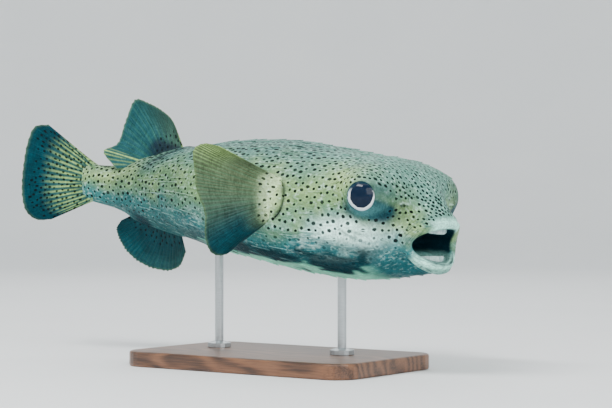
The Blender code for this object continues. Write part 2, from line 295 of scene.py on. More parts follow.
@dataclass(frozen=True)
class FinForm:
    """One fin: its root, the ends of its rays, and how its rays and webs are made."""

    name: str
    edge: tuple  # ends of rays from the front one to the rear one, as (u, y, z) in millimetres
    root: Callable[[Array], Array]
    thickness: float
    bow: float
    rays: int
    scallop: float  # how far the webs' ends lie behind the rays' ends, as a share of the length
    olive: tuple[float, float]  # how olive the webs are at the front and at the rear ray, 0 is teal
    spot_reach: float  # share of the length that carries spots
    pale: tuple[float, float]  # how light the rays are at the root and at the tips
    web: float = 1.1 * MM
    fleshy_share: float = 0.14
    fork: float = 0.5  # share of the length at which the rays fork

    def middle(self, a: Array, b: Array) -> Array:
        """The fin's middle sheet.

        Args:
            a: 0 at the front ray to 1 at the rear one.
            b: 0 at the root to 1 at the rays' ends.

        Returns:
            A point of the straight fish for each a and b.
        """
        edge = np.array(self.edge, float) * MM
        ends = through(a, np.linspace(0, 1, len(edge)), edge)
        start = self.root(a)
        points = start + (ends - start) * b[:, None]
        points[:, 1] += self.bow * np.sin(a * math.pi) * np.sin(b * math.pi)
        return points

    def ray(self, a: Array, b: Array) -> Array:
        """The lines of the rays, which fork on their way out.

        Args:
            a: 0 at the front ray to 1 at the rear one.
            b: 0 at the root to 1 at the rays' ends.

        Returns:
            1 on the crest of a ray and 0 between rays.
        """
        whole = 0.5 + 0.5 * np.cos(2 * math.pi * self.rays * a)
        forked = 0.5 + 0.5 * np.cos(4 * math.pi * self.rays * a)
        fork = rise(b, self.fork - 0.1, self.fork + 0.15)
        return whole**2 * (1 - fork) + forked**2 * fork * 0.8


def midline_root(form: BodyForm, ends: tuple[float, float], toward: int, depth: float = 5 * MM) -> Callable:
    """Makes the root of a fin along the middle line.

    Args:
        form: the body.
        ends: the stations of its front and its rear ray.
        toward: 1 along the back, -1 along the belly.
        depth: how deep it lies in the body.

    Returns:
        The root's place at each share of its length.
    """

    def height(u: Array) -> Array:
        """The root's height at stations u."""
        return form.section(u)[1] - depth if toward > 0 else form.section(u)[2] + depth

    def root(a: Array) -> Array:
        """The root's place at a."""
        u = ends[0] + (ends[1] - ends[0]) * a
        return np.stack([u, np.zeros_like(u), height(u)], axis=-1)

    return root


def tail_root(form: BodyForm, depth: float = 5 * MM, share: float = 0.9) -> Callable:
    """Makes the upright root of the tail fin.

    Args:
        form: the body.
        depth: how deep it lies in the end of the tail stalk.
        share: its height over the stalk's.

    Returns:
        The root's place at each share of its length.
    """

    _, top, bottom, *_ = form.section(np.array(form.length))

    def root(a: Array) -> Array:
        """The root's place at a."""
        height = (top + (bottom - top) * a) * share
        return np.stack([np.full_like(a, form.length - depth), np.zeros_like(a), height], axis=-1)

    return root


@dataclass(frozen=True)
class PectoralForm:
    """A pectoral fin swung out from the flank."""

    body: BodyForm
    sign: int  # 1 on the fish's left
    swing: float  # degrees out from the flank
    tilt: float  # degrees that its edge is turned down
    place: tuple[float, float] = (146, 14)  # u and z of the middle of the root, in millimetres
    half_root: float = 16
    depth: float = 5
    curl: float = 9
    points: tuple = (
        (53, 41), (67, 42), (76, 35), (73, 16), (70, 1), (61, -19), (59, -39), (52, -53), (40, -54), (29, -45),
    )

    def edge(self) -> tuple:
        """The fin's edge.

        Returns:
            Ends of the rays from the top one down, as (u, y, z) in millimetres.
        """
        swing, tilt = math.radians(self.swing), math.radians(self.tilt)
        u, z = self.place
        back, up = np.array(self.points, float).T
        back, up = back * math.cos(tilt) + up * math.sin(tilt), up * math.cos(tilt) - back * math.sin(tilt)
        curl = self.curl * np.linspace(1, -1, len(up)) ** 3
        rearward = back * math.cos(swing) - curl * math.sin(swing)
        outward = back * math.sin(swing) + curl * math.cos(swing)
        flank = self.body.flank(u * MM, z * MM) / MM
        return tuple(zip(u + rearward, self.sign * (flank + outward), z + up))

    def root(self, a: Array) -> Array:
        """The fin's root.

        Args:
            a: 0 at its top to 1 at its foot.

        Returns:
            A point for each a.
        """
        heights = (self.place[1] + self.half_root * (1 - 2 * a)) * MM
        side = self.body.flank(self.place[0] * MM, heights) - self.depth * MM
        return np.stack([np.full_like(a, self.place[0] * MM), self.sign * side, heights], axis=-1)


def fins_of(form: BodyForm) -> list[FinForm]:
    """The five fins of the frame.

    Args:
        form: the body that they stand on.

    Returns:
        The fins, in the order of their patches on the unwrap.
    """
    back = (
        (315, 1, 52), (328, 3, 70), (345, 6, 79), (361, 8, 84), (380, 10, 86), (388, 8, 63), (389, 0, 42),
        (394, -15, 33), (376, -14, 17),
    )
    vent = (
        (302, 8, -55), (311, 12, -70), (327, 15, -77), (349, 17, -77), (367, 17, -72), (380, 15, -63),
        (387, 12, -52), (388, 8, -42), (380, 4, -33),
    )
    tail = (
        (475, 0, 53), (494, 3, 49), (502, 4, 31), (503, 2, 12), (502, 0, -6), (498, -3, -22), (491, -4, -36),
        (478, -3, -43), (462, 0, -41),
    )
    over, under = midline_root(form, (306 * MM, 356 * MM), 1), midline_root(form, (306 * MM, 358 * MM), -1)
    fins = [
        FinForm(
            "dorsal", back, over, thickness=9 * MM, bow=5 * MM, rays=14, scallop=0.02,
            olive=(0.55, 0.15), spot_reach=0.5, pale=(0.3, 0.2),
        ),
        FinForm(
            "anal", vent, under, thickness=8 * MM, bow=4 * MM, rays=14, scallop=0.035,
            olive=(0.35, 0.1), spot_reach=0.4, pale=(0.3, 0.2),
        ),
        FinForm(
            "caudal", tail, tail_root(form), thickness=14 * MM, bow=0.0, rays=9, scallop=0.01,
            olive=(0.15, 0.15), spot_reach=0.72, pale=(1.0, 0.15), fork=0.2,
        ),
    ]
    for side, sign, swing, tilt in (("right", -1, 38, 0), ("left", 1, 32, 14)):
        shape = PectoralForm(form, sign, swing, tilt)
        fins.append(FinForm(
            f"pectoral_{side}", shape.edge(), shape.root, thickness=10 * MM, bow=sign * 6 * MM, rays=21,
            scallop=0.012, olive=(1.0, 0.85), spot_reach=0.2, pale=(0.25, 0.3),
        ))
    return fins


def alone(piece: Piece) -> None:
    """Makes a piece the only one selected, and the active one.

    Args:
        piece: the piece.
    """
    bpy.ops.object.select_all(action="DESELECT")
    piece.select_set(True)
    bpy.context.view_layer.objects.active = piece


def added(name: str) -> Piece:
    """Names the object that an operator has just added.

    Args:
        name: its name and its mesh's.

    Returns:
        The object.
    """
    made = bpy.context.object
    made.name = made.data.name = name
    return made


@contextmanager
def editing(piece: Piece, choice: str = "VERT", everything: bool = True) -> Iterator[None]:
    """Opens edit mode on one piece for the operators that follow, and closes it after them.

    Args:
        piece: the piece.
        choice: what is selected in it, "VERT", "EDGE" or "FACE".
        everything: True to start with all of it selected, False with nothing.

    Yields:
        Nothing.
    """
    alone(piece)
    bpy.ops.object.mode_set(mode="EDIT")
    bpy.ops.mesh.select_mode(type=choice)
    bpy.ops.mesh.select_all(action="SELECT" if everything else "DESELECT")
    yield
    bpy.ops.object.mode_set(mode="OBJECT")


def face_out(piece: Piece, inside: bool = False) -> None:
    """Turns all faces of a closed piece outwards, or inwards."""
    with editing(piece):
        bpy.ops.mesh.normals_make_consistent(inside=inside)


def read(items: bpy.types.bpy_prop_collection, what: str, width: int = 3) -> Array:
    """Reads a mesh's own numbers.

    Args:
        items: its vertices, faces, corners or kept numbers.
        what: the name of the numbers.
        width: how many there are for each item.

    Returns:
        A row for each item.
    """
    found = np.empty(len(items) * width, np.float32)
    items.foreach_get(what, found)
    return found.reshape(-1, width).astype(float)


def corners(piece: Piece) -> Array:
    """Places of a mesh's vertices, one a row."""
    return read(piece.data.vertices, "co")


def move_corners(piece: Piece, places: Array) -> None:
    """Puts a mesh's vertices at places."""
    piece.data.vertices.foreach_set("co", np.asarray(places, np.float32).ravel())
    piece.data.update()


def normals_of(piece: Piece) -> Array:
    """The smooth normal at each vertex."""
    return read(piece.data.vertex_normals, "vector")


def sheet(name: str, along: int, across: int) -> tuple[Piece, Array, Array]:
    """Adds a flat grid to be shaped.

    Args:
        name: the piece's name.
        along: faces in one direction.
        across: faces in the other.

    Returns:
        The piece, and the row and the column of each vertex.
    """
    bpy.ops.object.select_all(action="DESELECT")
    bpy.ops.mesh.primitive_grid_add(x_subdivisions=along, y_subdivisions=across, size=1.0, calc_uvs=False)
    made = added(name)
    place = corners(made) + 0.5
    return made, np.rint(place[:, 0] * along).astype(int), np.rint(place[:, 1] * across).astype(int)


def store(piece: Piece, name: str, values: Iterable[Array] | Array, domain: str = "POINT") -> None:
    """Keeps three numbers with each vertex or face, for the finishes to read.

    Args:
        piece: the piece.
        name: what they are kept under.
        values: a row for each item, or three columns in a tuple, each of them a number or a number for each item.
        domain: "POINT" for vertices or "FACE" for faces.
    """
    mesh = piece.data
    if isinstance(values, tuple):
        values = np.stack(np.broadcast_arrays(*values, np.zeros(len(mesh.vertices)))[:3], axis=1)
    layer = mesh.attributes.get(name) or mesh.attributes.new(name, "FLOAT_VECTOR", domain)
    layer.data.foreach_set("vector", np.asarray(values, np.float32).ravel())


def stored(piece: Piece, name: str) -> Array:
    """The numbers that store kept."""
    return read(piece.data.attributes[name].data, "vector")


def face_vertices(piece: Piece) -> Array:
    """The vertex at each corner of each face."""
    return read(piece.data.loops, "vertex_index", 1)[:, 0].astype(int)


def write_map(piece: Piece, places: Array) -> None:
    """Keeps the piece's own map: a place on it for each corner of each face, as a share of the whole."""
    layer = piece.data.uv_layers.new(name="OFBake")
    layer.data.foreach_set("uv", places.astype(np.float32).ravel())


def finder(places: Array, indices: Iterable[int]) -> KDTree:
    """Readies some places for a search of the nearest.

    Args:
        places: all of them.
        indices: which of them take part.

    Returns:
        The tree that finds them.
    """
    tree = KDTree(len(places))
    for index in indices:
        tree.insert(places[index], index)
    tree.balance()
    return tree


@dataclass(frozen=True)
class Rim:
    """A round opening in the skin and the section of the rim that is drawn in round it."""

    centre: tuple[float, float, float]  # in millimetres
    axis: tuple[float, float, float]  # out of the skin
    radius: float
    # for each ring: its radius, how much it follows the globe instead of the skin, and its height over that
    profile: tuple[tuple[float, float, float], ...]
    globe: float = 0.0  # radius of the globe round the centre
    finer: float = 0.0  # radius within which the skin is subdivided first


@dataclass
class SpotField:
    """The black spots of one piece: where they are, how big and how long."""

    middles: Array  # in the frame of the object
    sizes: Array  # half width in metres, length over width, darkness

    @classmethod
    def scattered(cls, places: Array, spacing: Array, sizes: Array, seed: int, pose: Pose) -> "SpotField":
        """Spots at even distances.

        Args:
            places: points of the straight fish that a spot may take.
            spacing: the least distance to the next spot at each of them, or 0 where there is none.
            sizes: the spot that each of them would have.
            seed: which order the points are tried in.
            pose: where the fish is.

        Returns:
            The spots, no two of them closer than their spacing.
        """
        rng = np.random.default_rng(seed)
        order = rng.random(len(places))  # one draw for each point, so that no point changes another one's draw
        varied = rng.uniform((0.75, 0.85, 0.93), (1.15, 1.2, 1.0), (len(places), 3))
        cell = float(spacing.max())
        kept: list[int] = []
        taken: dict[tuple[int, ...], list[int]] = {}
        last = 2.0  # above every draw, for the points that take no spot
        for index in np.argsort(np.where(spacing > 0, order, last))[: np.count_nonzero(spacing > 0)]:
            here = tuple(np.floor(places[index] / cell).astype(int))
            cells = ((here[0] + du, here[1] + dy, here[2] + dz) for du, dy, dz in product((-1, 0, 1), repeat=3))
            near = [k for beside in cells for k in taken.get(beside, ())]
            gap = np.linalg.norm(places[near] - places[index], axis=1) if near else np.array([np.inf])
            if (gap > spacing[index]).all():
                kept.append(index)
                taken.setdefault(here, []).append(index)
        return cls(pose.place(places[kept]), sizes[kept] * varied[kept])

    def mark(self, piece: Piece) -> None:
        """Keeps with each face of a piece the spot nearest to it, its middle moved on to the face's plane.

        Args:
            piece: the posed piece.
        """
        tree = finder(self.middles, range(len(self.middles)))
        centres, normals = (read(piece.data.polygons, what) for what in ("center", "normal"))
        nearest = [tree.find(place)[1] for place in centres]
        middles = self.middles[nearest]
        middles -= normals * ((middles - centres) * normals).sum(axis=1, keepdims=True)
        store(piece, "spot_middle", middles, "FACE")
        store(piece, "spot_size", self.sizes[nearest], "FACE")


class Zone(Enum):
    """Soft ovals on both sides of the fish: station, height, reach along and reach up and down, in millimetres."""

    SNOUT_DIP = (34, 11, 8, 8)
    CHEEK_SWELL = (66, -14, 34, 15)
    FIN_SWELL = (153, 14, 9, 15)
    EYE_SHADOW = (38, 15, 8, 9)
    EYE_SHADOW_END = (46, 6, 12, 5)
    BROW_SHADOW = (38, 28, 11, 12)
    CHEEK = (68, -7, 26, 9)
    JOWL = (94, -17, 40, 11)
    THROAT = (37, -24, 14, 5)
    VENT = (256, -14, 30, 10)
    FIN_ROOT = (151, 16, 11, 18)
    FIN_YELLOW = (151, 16, 10, 17)
    TEMPLE = (78, 38, 24, 9)
    MOUTH_CORNER = (29, -3, 15, 11)
    CHEEK_FOLDS = (62, -10, 26, 9)

    def on(self, at: dict[str, Array]) -> Array:
        """How much of the oval lies at each place of Skin.sides_of: 1 in its middle to 0 far from it."""
        u, z, along, high = self.value
        return hump((at["u"] - u) / along, (at["z"] - z) / high)


@dataclass
class Skin:
    """The one skin of body and fins, and the folds and markings on it.

    Each vertex keeps "place", which is how far round the lips it lies (-1 inside, 1 outside, 2 on the body), its
    station and its angle, and "chart", its place on the unwrap in millimetres.
    """

    form: BodyForm = field(default_factory=BodyForm)
    pose: Pose = field(default_factory=Pose)
    sides: int = 224
    coat_depth: float = 0.45  # millimetres that the skin lies inside the solids
    chart_size: float = 620.0  # millimetres across the whole unwrap
    chart_middle: float = 205.0  # height of the line along the back on it
    fin_patch: tuple[float, float] = (84, 78)  # the part of the unwrap that one side of a fin takes
    fin_patch_start: tuple[float, float] = (5, 420)
    fin_patch_gap: tuple[float, float] = (100, 90)  # from fin to fin, and from one side of a fin to its other side
    fin_edge: float = 0.8  # the height on the unwrap that a fin's thin edge takes
    fin_faces: tuple[int, int] = (64, 38)
    eye: tuple[float, float, float] = (56.5, 50.5, 25)
    globe: float = 17.7
    eye_turn: float = 20.0  # degrees that the opening of the lids is turned ahead
    nostril: tuple[float, float, float] = (27.3, 33.3, 19.5)
    lid_profile: tuple = (
        (16.4, 0.02, 0), (15.7, 0.06, 0.05), (15.0, 0.13, 0.15), (14.3, 0.25, 0.3), (13.7, 0.45, 0.45),
        (13.2, 0.7, 0.55), (12.85, 0.92, 0.5), (12.65, 1, 0.25), (12.55, 1, -0.25), (12.4, 1, -1.2),
    )
    nostril_profile: tuple = (
        (3.1, 0, 0.3), (2.7, 0, 0.8), (2.4, 0, 1.4), (2.2, 0, 1.9), (1.95, 0, 2.15), (1.65, 0, 2.1),
        (1.4, 0, 1.6), (1.2, 0, 0.8), (1.05, 0, -0.6), (0.8, 0, -2.0),
    )
    rim_smoothing: int = 13  # vertices over which the edge of an opening is evened out

    def angles(self) -> Array:
        """Spaces the columns of the grid.

        Returns:
            Angles from the belly line round to it again, wider apart near it.
        """
        fine = np.linspace(-90, 270, 3601)
        off = np.minimum(fine + 90, 270 - fine)
        total = np.concatenate([[0], np.cumsum(0.5 + 0.5 * rise(off, 25, 60))[:-1]])
        return np.radians(np.interp(np.linspace(0, total[-1], self.sides + 1), total, fine))

    def rings(self) -> tuple[Array, list[Array], Array]:
        """The rings from the back of the mouth, over the lips and along the body into the tail fin.

        Returns:
            Station, sizes and how far round the lips each ring lies.
        """
        form = self.form
        share = np.linspace(1.0, 0.05, 20)
        slope = (form.mouth_half_height - form.lip_radius) * 0.72
        cavity = form.lip_radius + (form.cavity_depth - form.lip_radius) * share
        turn = np.radians(np.arange(-90, 86, 5))
        mouth_u = np.concatenate([cavity, form.lip_radius * (1 - np.cos(turn))])
        inset = np.concatenate([form.lip_radius + slope * share**2.2, -form.lip_radius * np.sin(turn)])
        # stations from and to, and the distance between rings, finer round mouth, eye and gill slit
        runs = ((4.5, 20, 1.0), (20, 74, 1.15), (74, 127, 2.0), (127, 160, 1.35), (160, 413, 2.5))
        body_u = np.concatenate([np.arange(*run) for run in runs] + [[414.0]]) * MM
        body = form.section(body_u)
        end = np.linspace(0, 1, 9)[1:]  # the stalk's end, drawn to an upright edge inside the tail fin
        end_u = form.length + 15 * MM * end
        end_sizes = [9 * MM * (1 - end) * (1 + 0.3 * end) + 0.3 * MM, (18.5 - 1.5 * end**2) * MM]
        end_sizes += [-(17.5 - 1.5 * end**2) * MM, 0 * end, 0 * end, 2 + 0 * end]
        sizes = [np.concatenate(rows) for rows in zip(form.mouth_sizes(mouth_u, inset), body, end_sizes)]
        lip = np.concatenate([-1 - share, turn / (math.pi / 2), np.full(len(body_u) + len(end_u), 2.0)])
        return np.concatenate([mouth_u, body_u, end_u]), sizes, lip

    def lip_folds(self, points: Array, lip: Array, angle: Array) -> Array:
        """Shapes the mouth's grid: the double lower lip, a fuller upper lip, the tongue and the small creases.

        Args:
            points: a point for each ring and angle.
            lip: how far round the lips each ring lies.
            angle: the angle of each column.

        Returns:
            The points, moved.
        """
        t, a = lip[:, None], np.degrees(angle)[None]
        on_lips, band = t < 2, t > -1.3
        below = hump((((a + 90 + 180) % 360 - 180) / 62)) ** 2
        above = hump((a - 90) / 60) ** 2
        corner = hump(np.minimum(np.abs(a), np.abs(a - 180)) / 30)
        out = 1.1 * below * hump((t + 0.05) / 0.5) - 2.8 * below * hump((t + 0.4) / 0.16)
        out = out + 1.0 * below * hump((t + 0.75) / 0.3) + 0.7 * above * hump((t - 0.1) / 0.6)
        out = out + 1.5 * below * rise(t, 0.0, 0.9) * on_lips + 0.6 * above * rise(t, 0.2, 0.95) * on_lips
        creases = np.sin(t * 26 + 2.0 * np.sin(np.radians(a) * 7)) * 0.22 * corner * rise(t, -0.2, 0.4)
        papillae = 0.1 * np.sin(np.radians(a) * 150) * hump((t + 0.4) / 0.5) * above
        out = (out + (creases + papillae) * on_lips) * band
        return points + self.outward(points) * out[..., None] * MM

    @staticmethod
    def outward(points: Array) -> Array:
        """The directions out of the fish on a grid of points.

        Args:
            points: the grid, its last column on its first.

        Returns:
            A normal of length 1 for each point.
        """
        round_it = np.concatenate([points[:, -2:-1], points, points[:, 1:2]], axis=1)
        around = np.gradient(round_it, axis=1)[:, 1:-1]
        return unit(np.cross(np.gradient(points, axis=0), around))

    def body(self) -> Piece:
        """Models head, trunk and tail as one closed sheet, and opens it round eyes and nostrils.

        Returns:
            The skin, still straight.
        """
        u, sizes, lip = self.rings()
        angle = self.angles()
        points = self.lip_folds(self.form.outline(u, sizes, angle), lip, angle)
        tongue = hump((points[..., 0] / MM - 25) / 11, points[..., 1] / MM / 13) * (lip[:, None] < -1)
        points[..., 2] += 4.5 * MM * tongue * (points[..., 2] < self.form.mouth_height)
        piece, i, j = sheet("skin", len(u) - 1, self.sides)
        move_corners(piece, points[i, j])
        station = np.where(lip < 2, np.minimum(u, 4.4 * MM), u) / MM
        store(piece, "place", (lip[i], station[i], np.degrees(angle)[j]))
        store(piece, "chart", self.chart(points)[i, j])
        with editing(piece):
            bpy.ops.mesh.remove_doubles(threshold=1e-7)
        face_out(piece)
        for rim in (*self.rims(1), *self.rims(-1)):
            self.open(piece, rim)
        self.refine(piece, self.near_gills)
        self.close_ends(piece)
        return piece

    @staticmethod
    def chart(points: Array) -> Array:
        """Unwraps the grid.

        Args:
            points: a point for each ring and angle.

        Returns:
            Mean distance along the fish, distance round it from the top, and 0, in millimetres.
        """
        along = np.linalg.norm(np.diff(points, axis=0), axis=2).mean(axis=1)
        along = np.concatenate([[0], np.cumsum(along)])
        around = np.linalg.norm(np.diff(points, axis=1), axis=2)
        around = np.concatenate([np.zeros((len(points), 1)), np.cumsum(around, axis=1)], axis=1)
        around -= around[:, -1:] / 2
        return np.stack([np.broadcast_to(along[:, None], around.shape), around, 0 * around], axis=-1) / MM

    def rims(self, sign: int) -> tuple[Rim, Rim]:
        """The low lid round an eye, which dips to the globe, and the short fleshy tube of a nostril.

        Args:
            sign: 1 on the fish's left, -1 on its right.

        Returns:
            Their rims.
        """
        turn, side = math.radians(self.eye_turn), np.array((1, sign, 1))
        ahead = np.array((-math.sin(turn), math.cos(turn), 0))
        lid = Rim(tuple(self.eye * side), tuple(ahead * side), 17.0, self.lid_profile, globe=self.globe)
        tube = Rim(tuple(self.nostril * side), (-0.45, sign * 0.85, 0.25), 3.7, self.nostril_profile, finer=8.0)
        return lid, tube

    @staticmethod
    def near_gills(centre: Vector) -> bool:
        """True on the faces round a gill slit."""
        return 130 < centre.x / MM < 147 and abs(centre.y) > 40 * MM and -8 < centre.z / MM < 36

    @staticmethod
    def refine(piece: Piece, wanted: Callable[[Vector], bool]) -> None:
        """Cuts some faces into four.

        Args:
            piece: the piece.
            wanted: True for the middle of a face to be cut.
        """
        with editing(piece, "FACE", everything=False):
            form = bmesh.from_edit_mesh(piece.data)
            for face in form.faces:
                face.select = wanted(face.calc_center_median())
            form.select_flush_mode()
            bmesh.update_edit_mesh(piece.data)
            bpy.ops.mesh.subdivide(number_cuts=1)

    def open(self, piece: Piece, rim: Rim) -> None:
        """Cuts a round opening in the skin and draws its edge in along the rim's profile.

        Args:
            piece: the skin, still straight.
            rim: where the opening is, and the section of its rim.
        """
        out = Vector(rim.axis).normalized()
        across = out.cross(Vector((0, 0, 1))).normalized()
        upward = across.cross(out)
        centre = Vector(rim.centre) * MM

        def flat(place: Vector) -> tuple[float, float, float]:
            """Distance across, up and out from the middle of the opening."""
            off = place - centre
            return off.dot(across), off.dot(upward), off.dot(out)

        def within(place: Vector, radius: float) -> bool:
            """True inside radius of the axis, on this side of the head."""
            a, b, height = flat(place)
            return math.hypot(a, b) < radius * MM and height > -12 * MM

        def at(a: float, b: float, height: float) -> Vector:
            """The place at these distances from the middle of the opening."""
            return centre + across * a + upward * b + out * height

        if rim.finer:
            self.refine(piece, lambda place: within(place, rim.finer))
        with editing(piece, "EDGE", everything=False):
            form = bmesh.from_edit_mesh(piece.data)
            surface = BVHTree.FromBMesh(form)
            doomed = [face for face in form.faces if within(face.calc_center_median(), rim.radius)]
            gone = set(doomed)
            edge = [v for v in form.verts if 0 < sum(face in gone for face in v.link_faces) < len(v.link_faces)]
            charts = form.verts.layers.float_vector["chart"]
            middle = sum((v[charts] for v in edge), Vector()) / len(edge)
            bmesh.ops.delete(form, geom=doomed, context="FACES")
            border = set(edge)
            for line in form.edges:
                line.select_set(line.is_boundary and all(v in border for v in line.verts))
            ring = edge[:1]
            while len(ring) < len(edge):
                beside = (line.other_vert(ring[-1]) for line in ring[-1].link_edges if line.select)
                ring.append(next(v for v in beside if v not in ring[-2:] and v != ring[0]))
            turns = np.unwrap([math.atan2(*flat(v.co)[1::-1]) for v in ring])
            whole = math.copysign(2 * math.pi, turns[-1] - turns[0])
            steady = np.linspace(turns[0], turns[0] + whole, len(ring) + 1)[:-1]
            window = np.hanning(self.rim_smoothing) / np.hanning(self.rim_smoothing).sum()
            loose = np.convolve(np.tile(turns - steady, 3), window, "same")[len(ring):-len(ring)]
            for v, turn in zip(ring, steady + loose):
                place = (across * math.cos(turn) + upward * math.sin(turn)) * rim.radius * MM
                v.co = centre + place + out * flat(v.co)[2]

            def height(a: float, b: float) -> float:
                """How far out the whole skin lies over a and b."""
                hit = surface.ray_cast(at(a, b, 30 * MM), -out, 60 * MM)[0]
                return flat(hit)[2] if hit else 0.0

            steps = ((rim.radius, 0.0, 0.0), *rim.profile)
            for number, (radius, follow, lift) in enumerate(steps):
                if number:
                    bpy.ops.mesh.extrude_edges_move()
                    form = bmesh.from_edit_mesh(piece.data)
                    charts = form.verts.layers.float_vector["chart"]
                for v in (v for v in form.verts if v.select):
                    a, b, _ = flat(v.co)
                    scale = radius * MM / math.hypot(a, b)
                    a, b = a * scale, b * scale
                    ball = math.sqrt(max(rim.globe**2 - radius**2, 0.0)) * MM
                    v.co = at(a, b, (1 - follow) * height(a, b) + follow * ball + lift * MM)
                    if number:
                        v[charts] = middle.lerp(v[charts], 1 - 1 / (len(steps) + 2 - number))
                bmesh.update_edit_mesh(piece.data)
            bpy.ops.mesh.select_all(action="DESELECT")
        LOG.info("opening at %s: edge of %d vertices", rim.centre, len(edge))

    @staticmethod
    def close_ends(piece: Piece) -> None:
        """Fills the back of the mouth, the foot of the tail fin and the tucked-in rims.

        Args:
            piece: the skin, still straight.
        """
        before = len(piece.data.polygons)
        with editing(piece, "FACE"):
            bpy.ops.mesh.fill_holes(sides=0)
            bpy.ops.mesh.select_all(action="DESELECT")
            form = bmesh.from_edit_mesh(piece.data)
            form.faces.ensure_lookup_table()
            for face in form.faces[before:]:
                face.select = True
            bmesh.update_edit_mesh(piece.data)
            bpy.ops.mesh.poke()

    def sides_of(self, straight: Array, place: Array) -> dict[str, Array]:
        """What the folds and markings are placed by.

        Args:
            straight: vertices of the straight fish.
            place: their "place".

        Returns:
            u, z, distance off the middle plane, height over the widest place as a share (1 on the back, -1 on the
            belly), distance from the eye's axis and from the nostril, how far round the lips, and station, in
            millimetres.
        """
        u, y, z = straight.T / MM
        off, far = np.abs(y), 99
        _, top, bottom, middle, *_ = self.form.section(np.clip(straight[:, 0], 4.5 * MM, self.form.length))
        high = np.where(z * MM > middle, top - middle, middle - bottom)
        lean = self.globe * math.sin(math.radians(self.eye_turn))
        eye = np.hypot(u - self.eye[0] + lean, z - self.eye[2]) + far * (off < 30)
        nose = np.hypot(u - self.nostril[0], z - self.nostril[2]) + far * (off < 22)
        found = {"u": u, "z": z, "off": off, "rel": (z * MM - middle) / high, "eye": eye, "nose": nose}
        return found | {"lip": place[:, 0], "station": place[:, 1]}

    @staticmethod
    def gill_arc(at: dict[str, Array]) -> Array:
        """Distance from the gill slit.

        Args:
            at: what sides_of gives.

        Returns:
            Millimetres, behind the slit above 0, and far away off its ends.
        """
        wide, high, ends, far = 12.5, 16.5, 1.25, 50
        across, up = at["u"] - 149, at["z"] - 12
        turn = np.arctan2(up, -across)
        reach = np.hypot(across / wide, up / high) - 1
        return np.where((np.abs(turn) < ends) & (at["off"] > 40), -reach * wide, far + np.abs(turn))

    def relief(self, piece: Piece) -> None:
        """Raises and sinks the straight skin: its even depth, folds, creases, fleshy fin roots and gill slits.

        Args:
            piece: the skin, still straight.
        """
        straight = corners(piece)
        at = self.sides_of(straight, stored(piece, "place"))
        u, z, off, rel, eye = at["u"], at["z"], at["off"], at["rel"], at["eye"]
        side = rise(off, 20, 34)
        lift = -self.coat_depth * rise(eye, 17.5, 22) * rise(at["lip"], -1, 0) * rise(-rel, 1.0, 0.9)
        # round the eye
        lift -= 0.4 * side * hump((eye - 20.5) / 1.4) * rise(-z, -26, -14)
        lift -= 1.6 * side * Zone.SNOUT_DIP.on(at)
        lift += 0.2 * side * np.sin(2.1 * eye + 2 * lumps(straight, 12 * MM, 5)) * hump((eye - 19.5) / 3.5)
        under_eye = side * hump((u - 62) / 24) * rise(-z, 0, 6)
        lift -= under_eye * (0.55 * hump((eye - 33) / 1.5) + 0.4 * hump((eye - 38) / 1.5))
        # soft flesh, the cheek and the fold along the jaw
        lift += 0.5 * lumps(straight, 32 * MM, 1) + 0.2 * lumps(straight, 9 * MM, 2) * rise(eye, 17, 24)
        lift += 0.75 * side * Zone.CHEEK_SWELL.on(at) * lumps(straight, 5.5 * MM, 3, (2.6, 1, 0.8))
        jaw = z + 16 + 7 * hump((u - 55) / 40)
        along = side * rise(u, 18, 34) * rise(u, 160, 120)
        lift += 0.9 * along * (hump((jaw - 3) / 3.5) - hump((jaw + 3) / 3.5))
        low = rise(-rel, 0.35, 0.8) * rise(u, 24, 50)
        lift += 0.5 * low * lumps(straight, 4.5 * MM, 4, (7, 1, 1))
        # lips and the corners of the mouth
        outer, near = at["lip"] > 1.5, at["station"]
        lift += 1.5 * outer * rise(-z, 22, 31) * hump((near - 4.5) / 4)
        lift += 1.0 * outer * rise(z, -4, 5) * hump((near - 6.5) / 2.6)
        lift -= outer * rise(-z, 10, 22) * (1.0 * hump((near - 12) / 2.4) + 0.5 * hump((near - 17.5) / 2.6))
        corner = outer * hump((z - 1) / 13) * rise(off, 18, 26)
        lift -= 0.45 * corner * hump((near - 10) / 6) * (1 + np.cos(near * 2.1 + 0.25 * z))
        # gill slit and fin roots
        lift += 3.0 * side * Zone.FIN_SWELL.on(at)
        gill = self.gill_arc(at)
        lift -= 3.0 * hump(gill / 0.95) - 0.8 * hump((gill - 2.6) / 1.3) - 0.5 * hump((gill + 2.4) / 1.4)
        ridge = hump(off / 5.5) * rise(u, 290, 306) * rise(u, 372, 356)
        lift += 2.6 * ridge * rise(np.abs(z), 12, 24)
        lift = lift * rise(u, 428, 420)
        move_corners(piece, straight + normals_of(piece) * (lift * MM)[:, None])

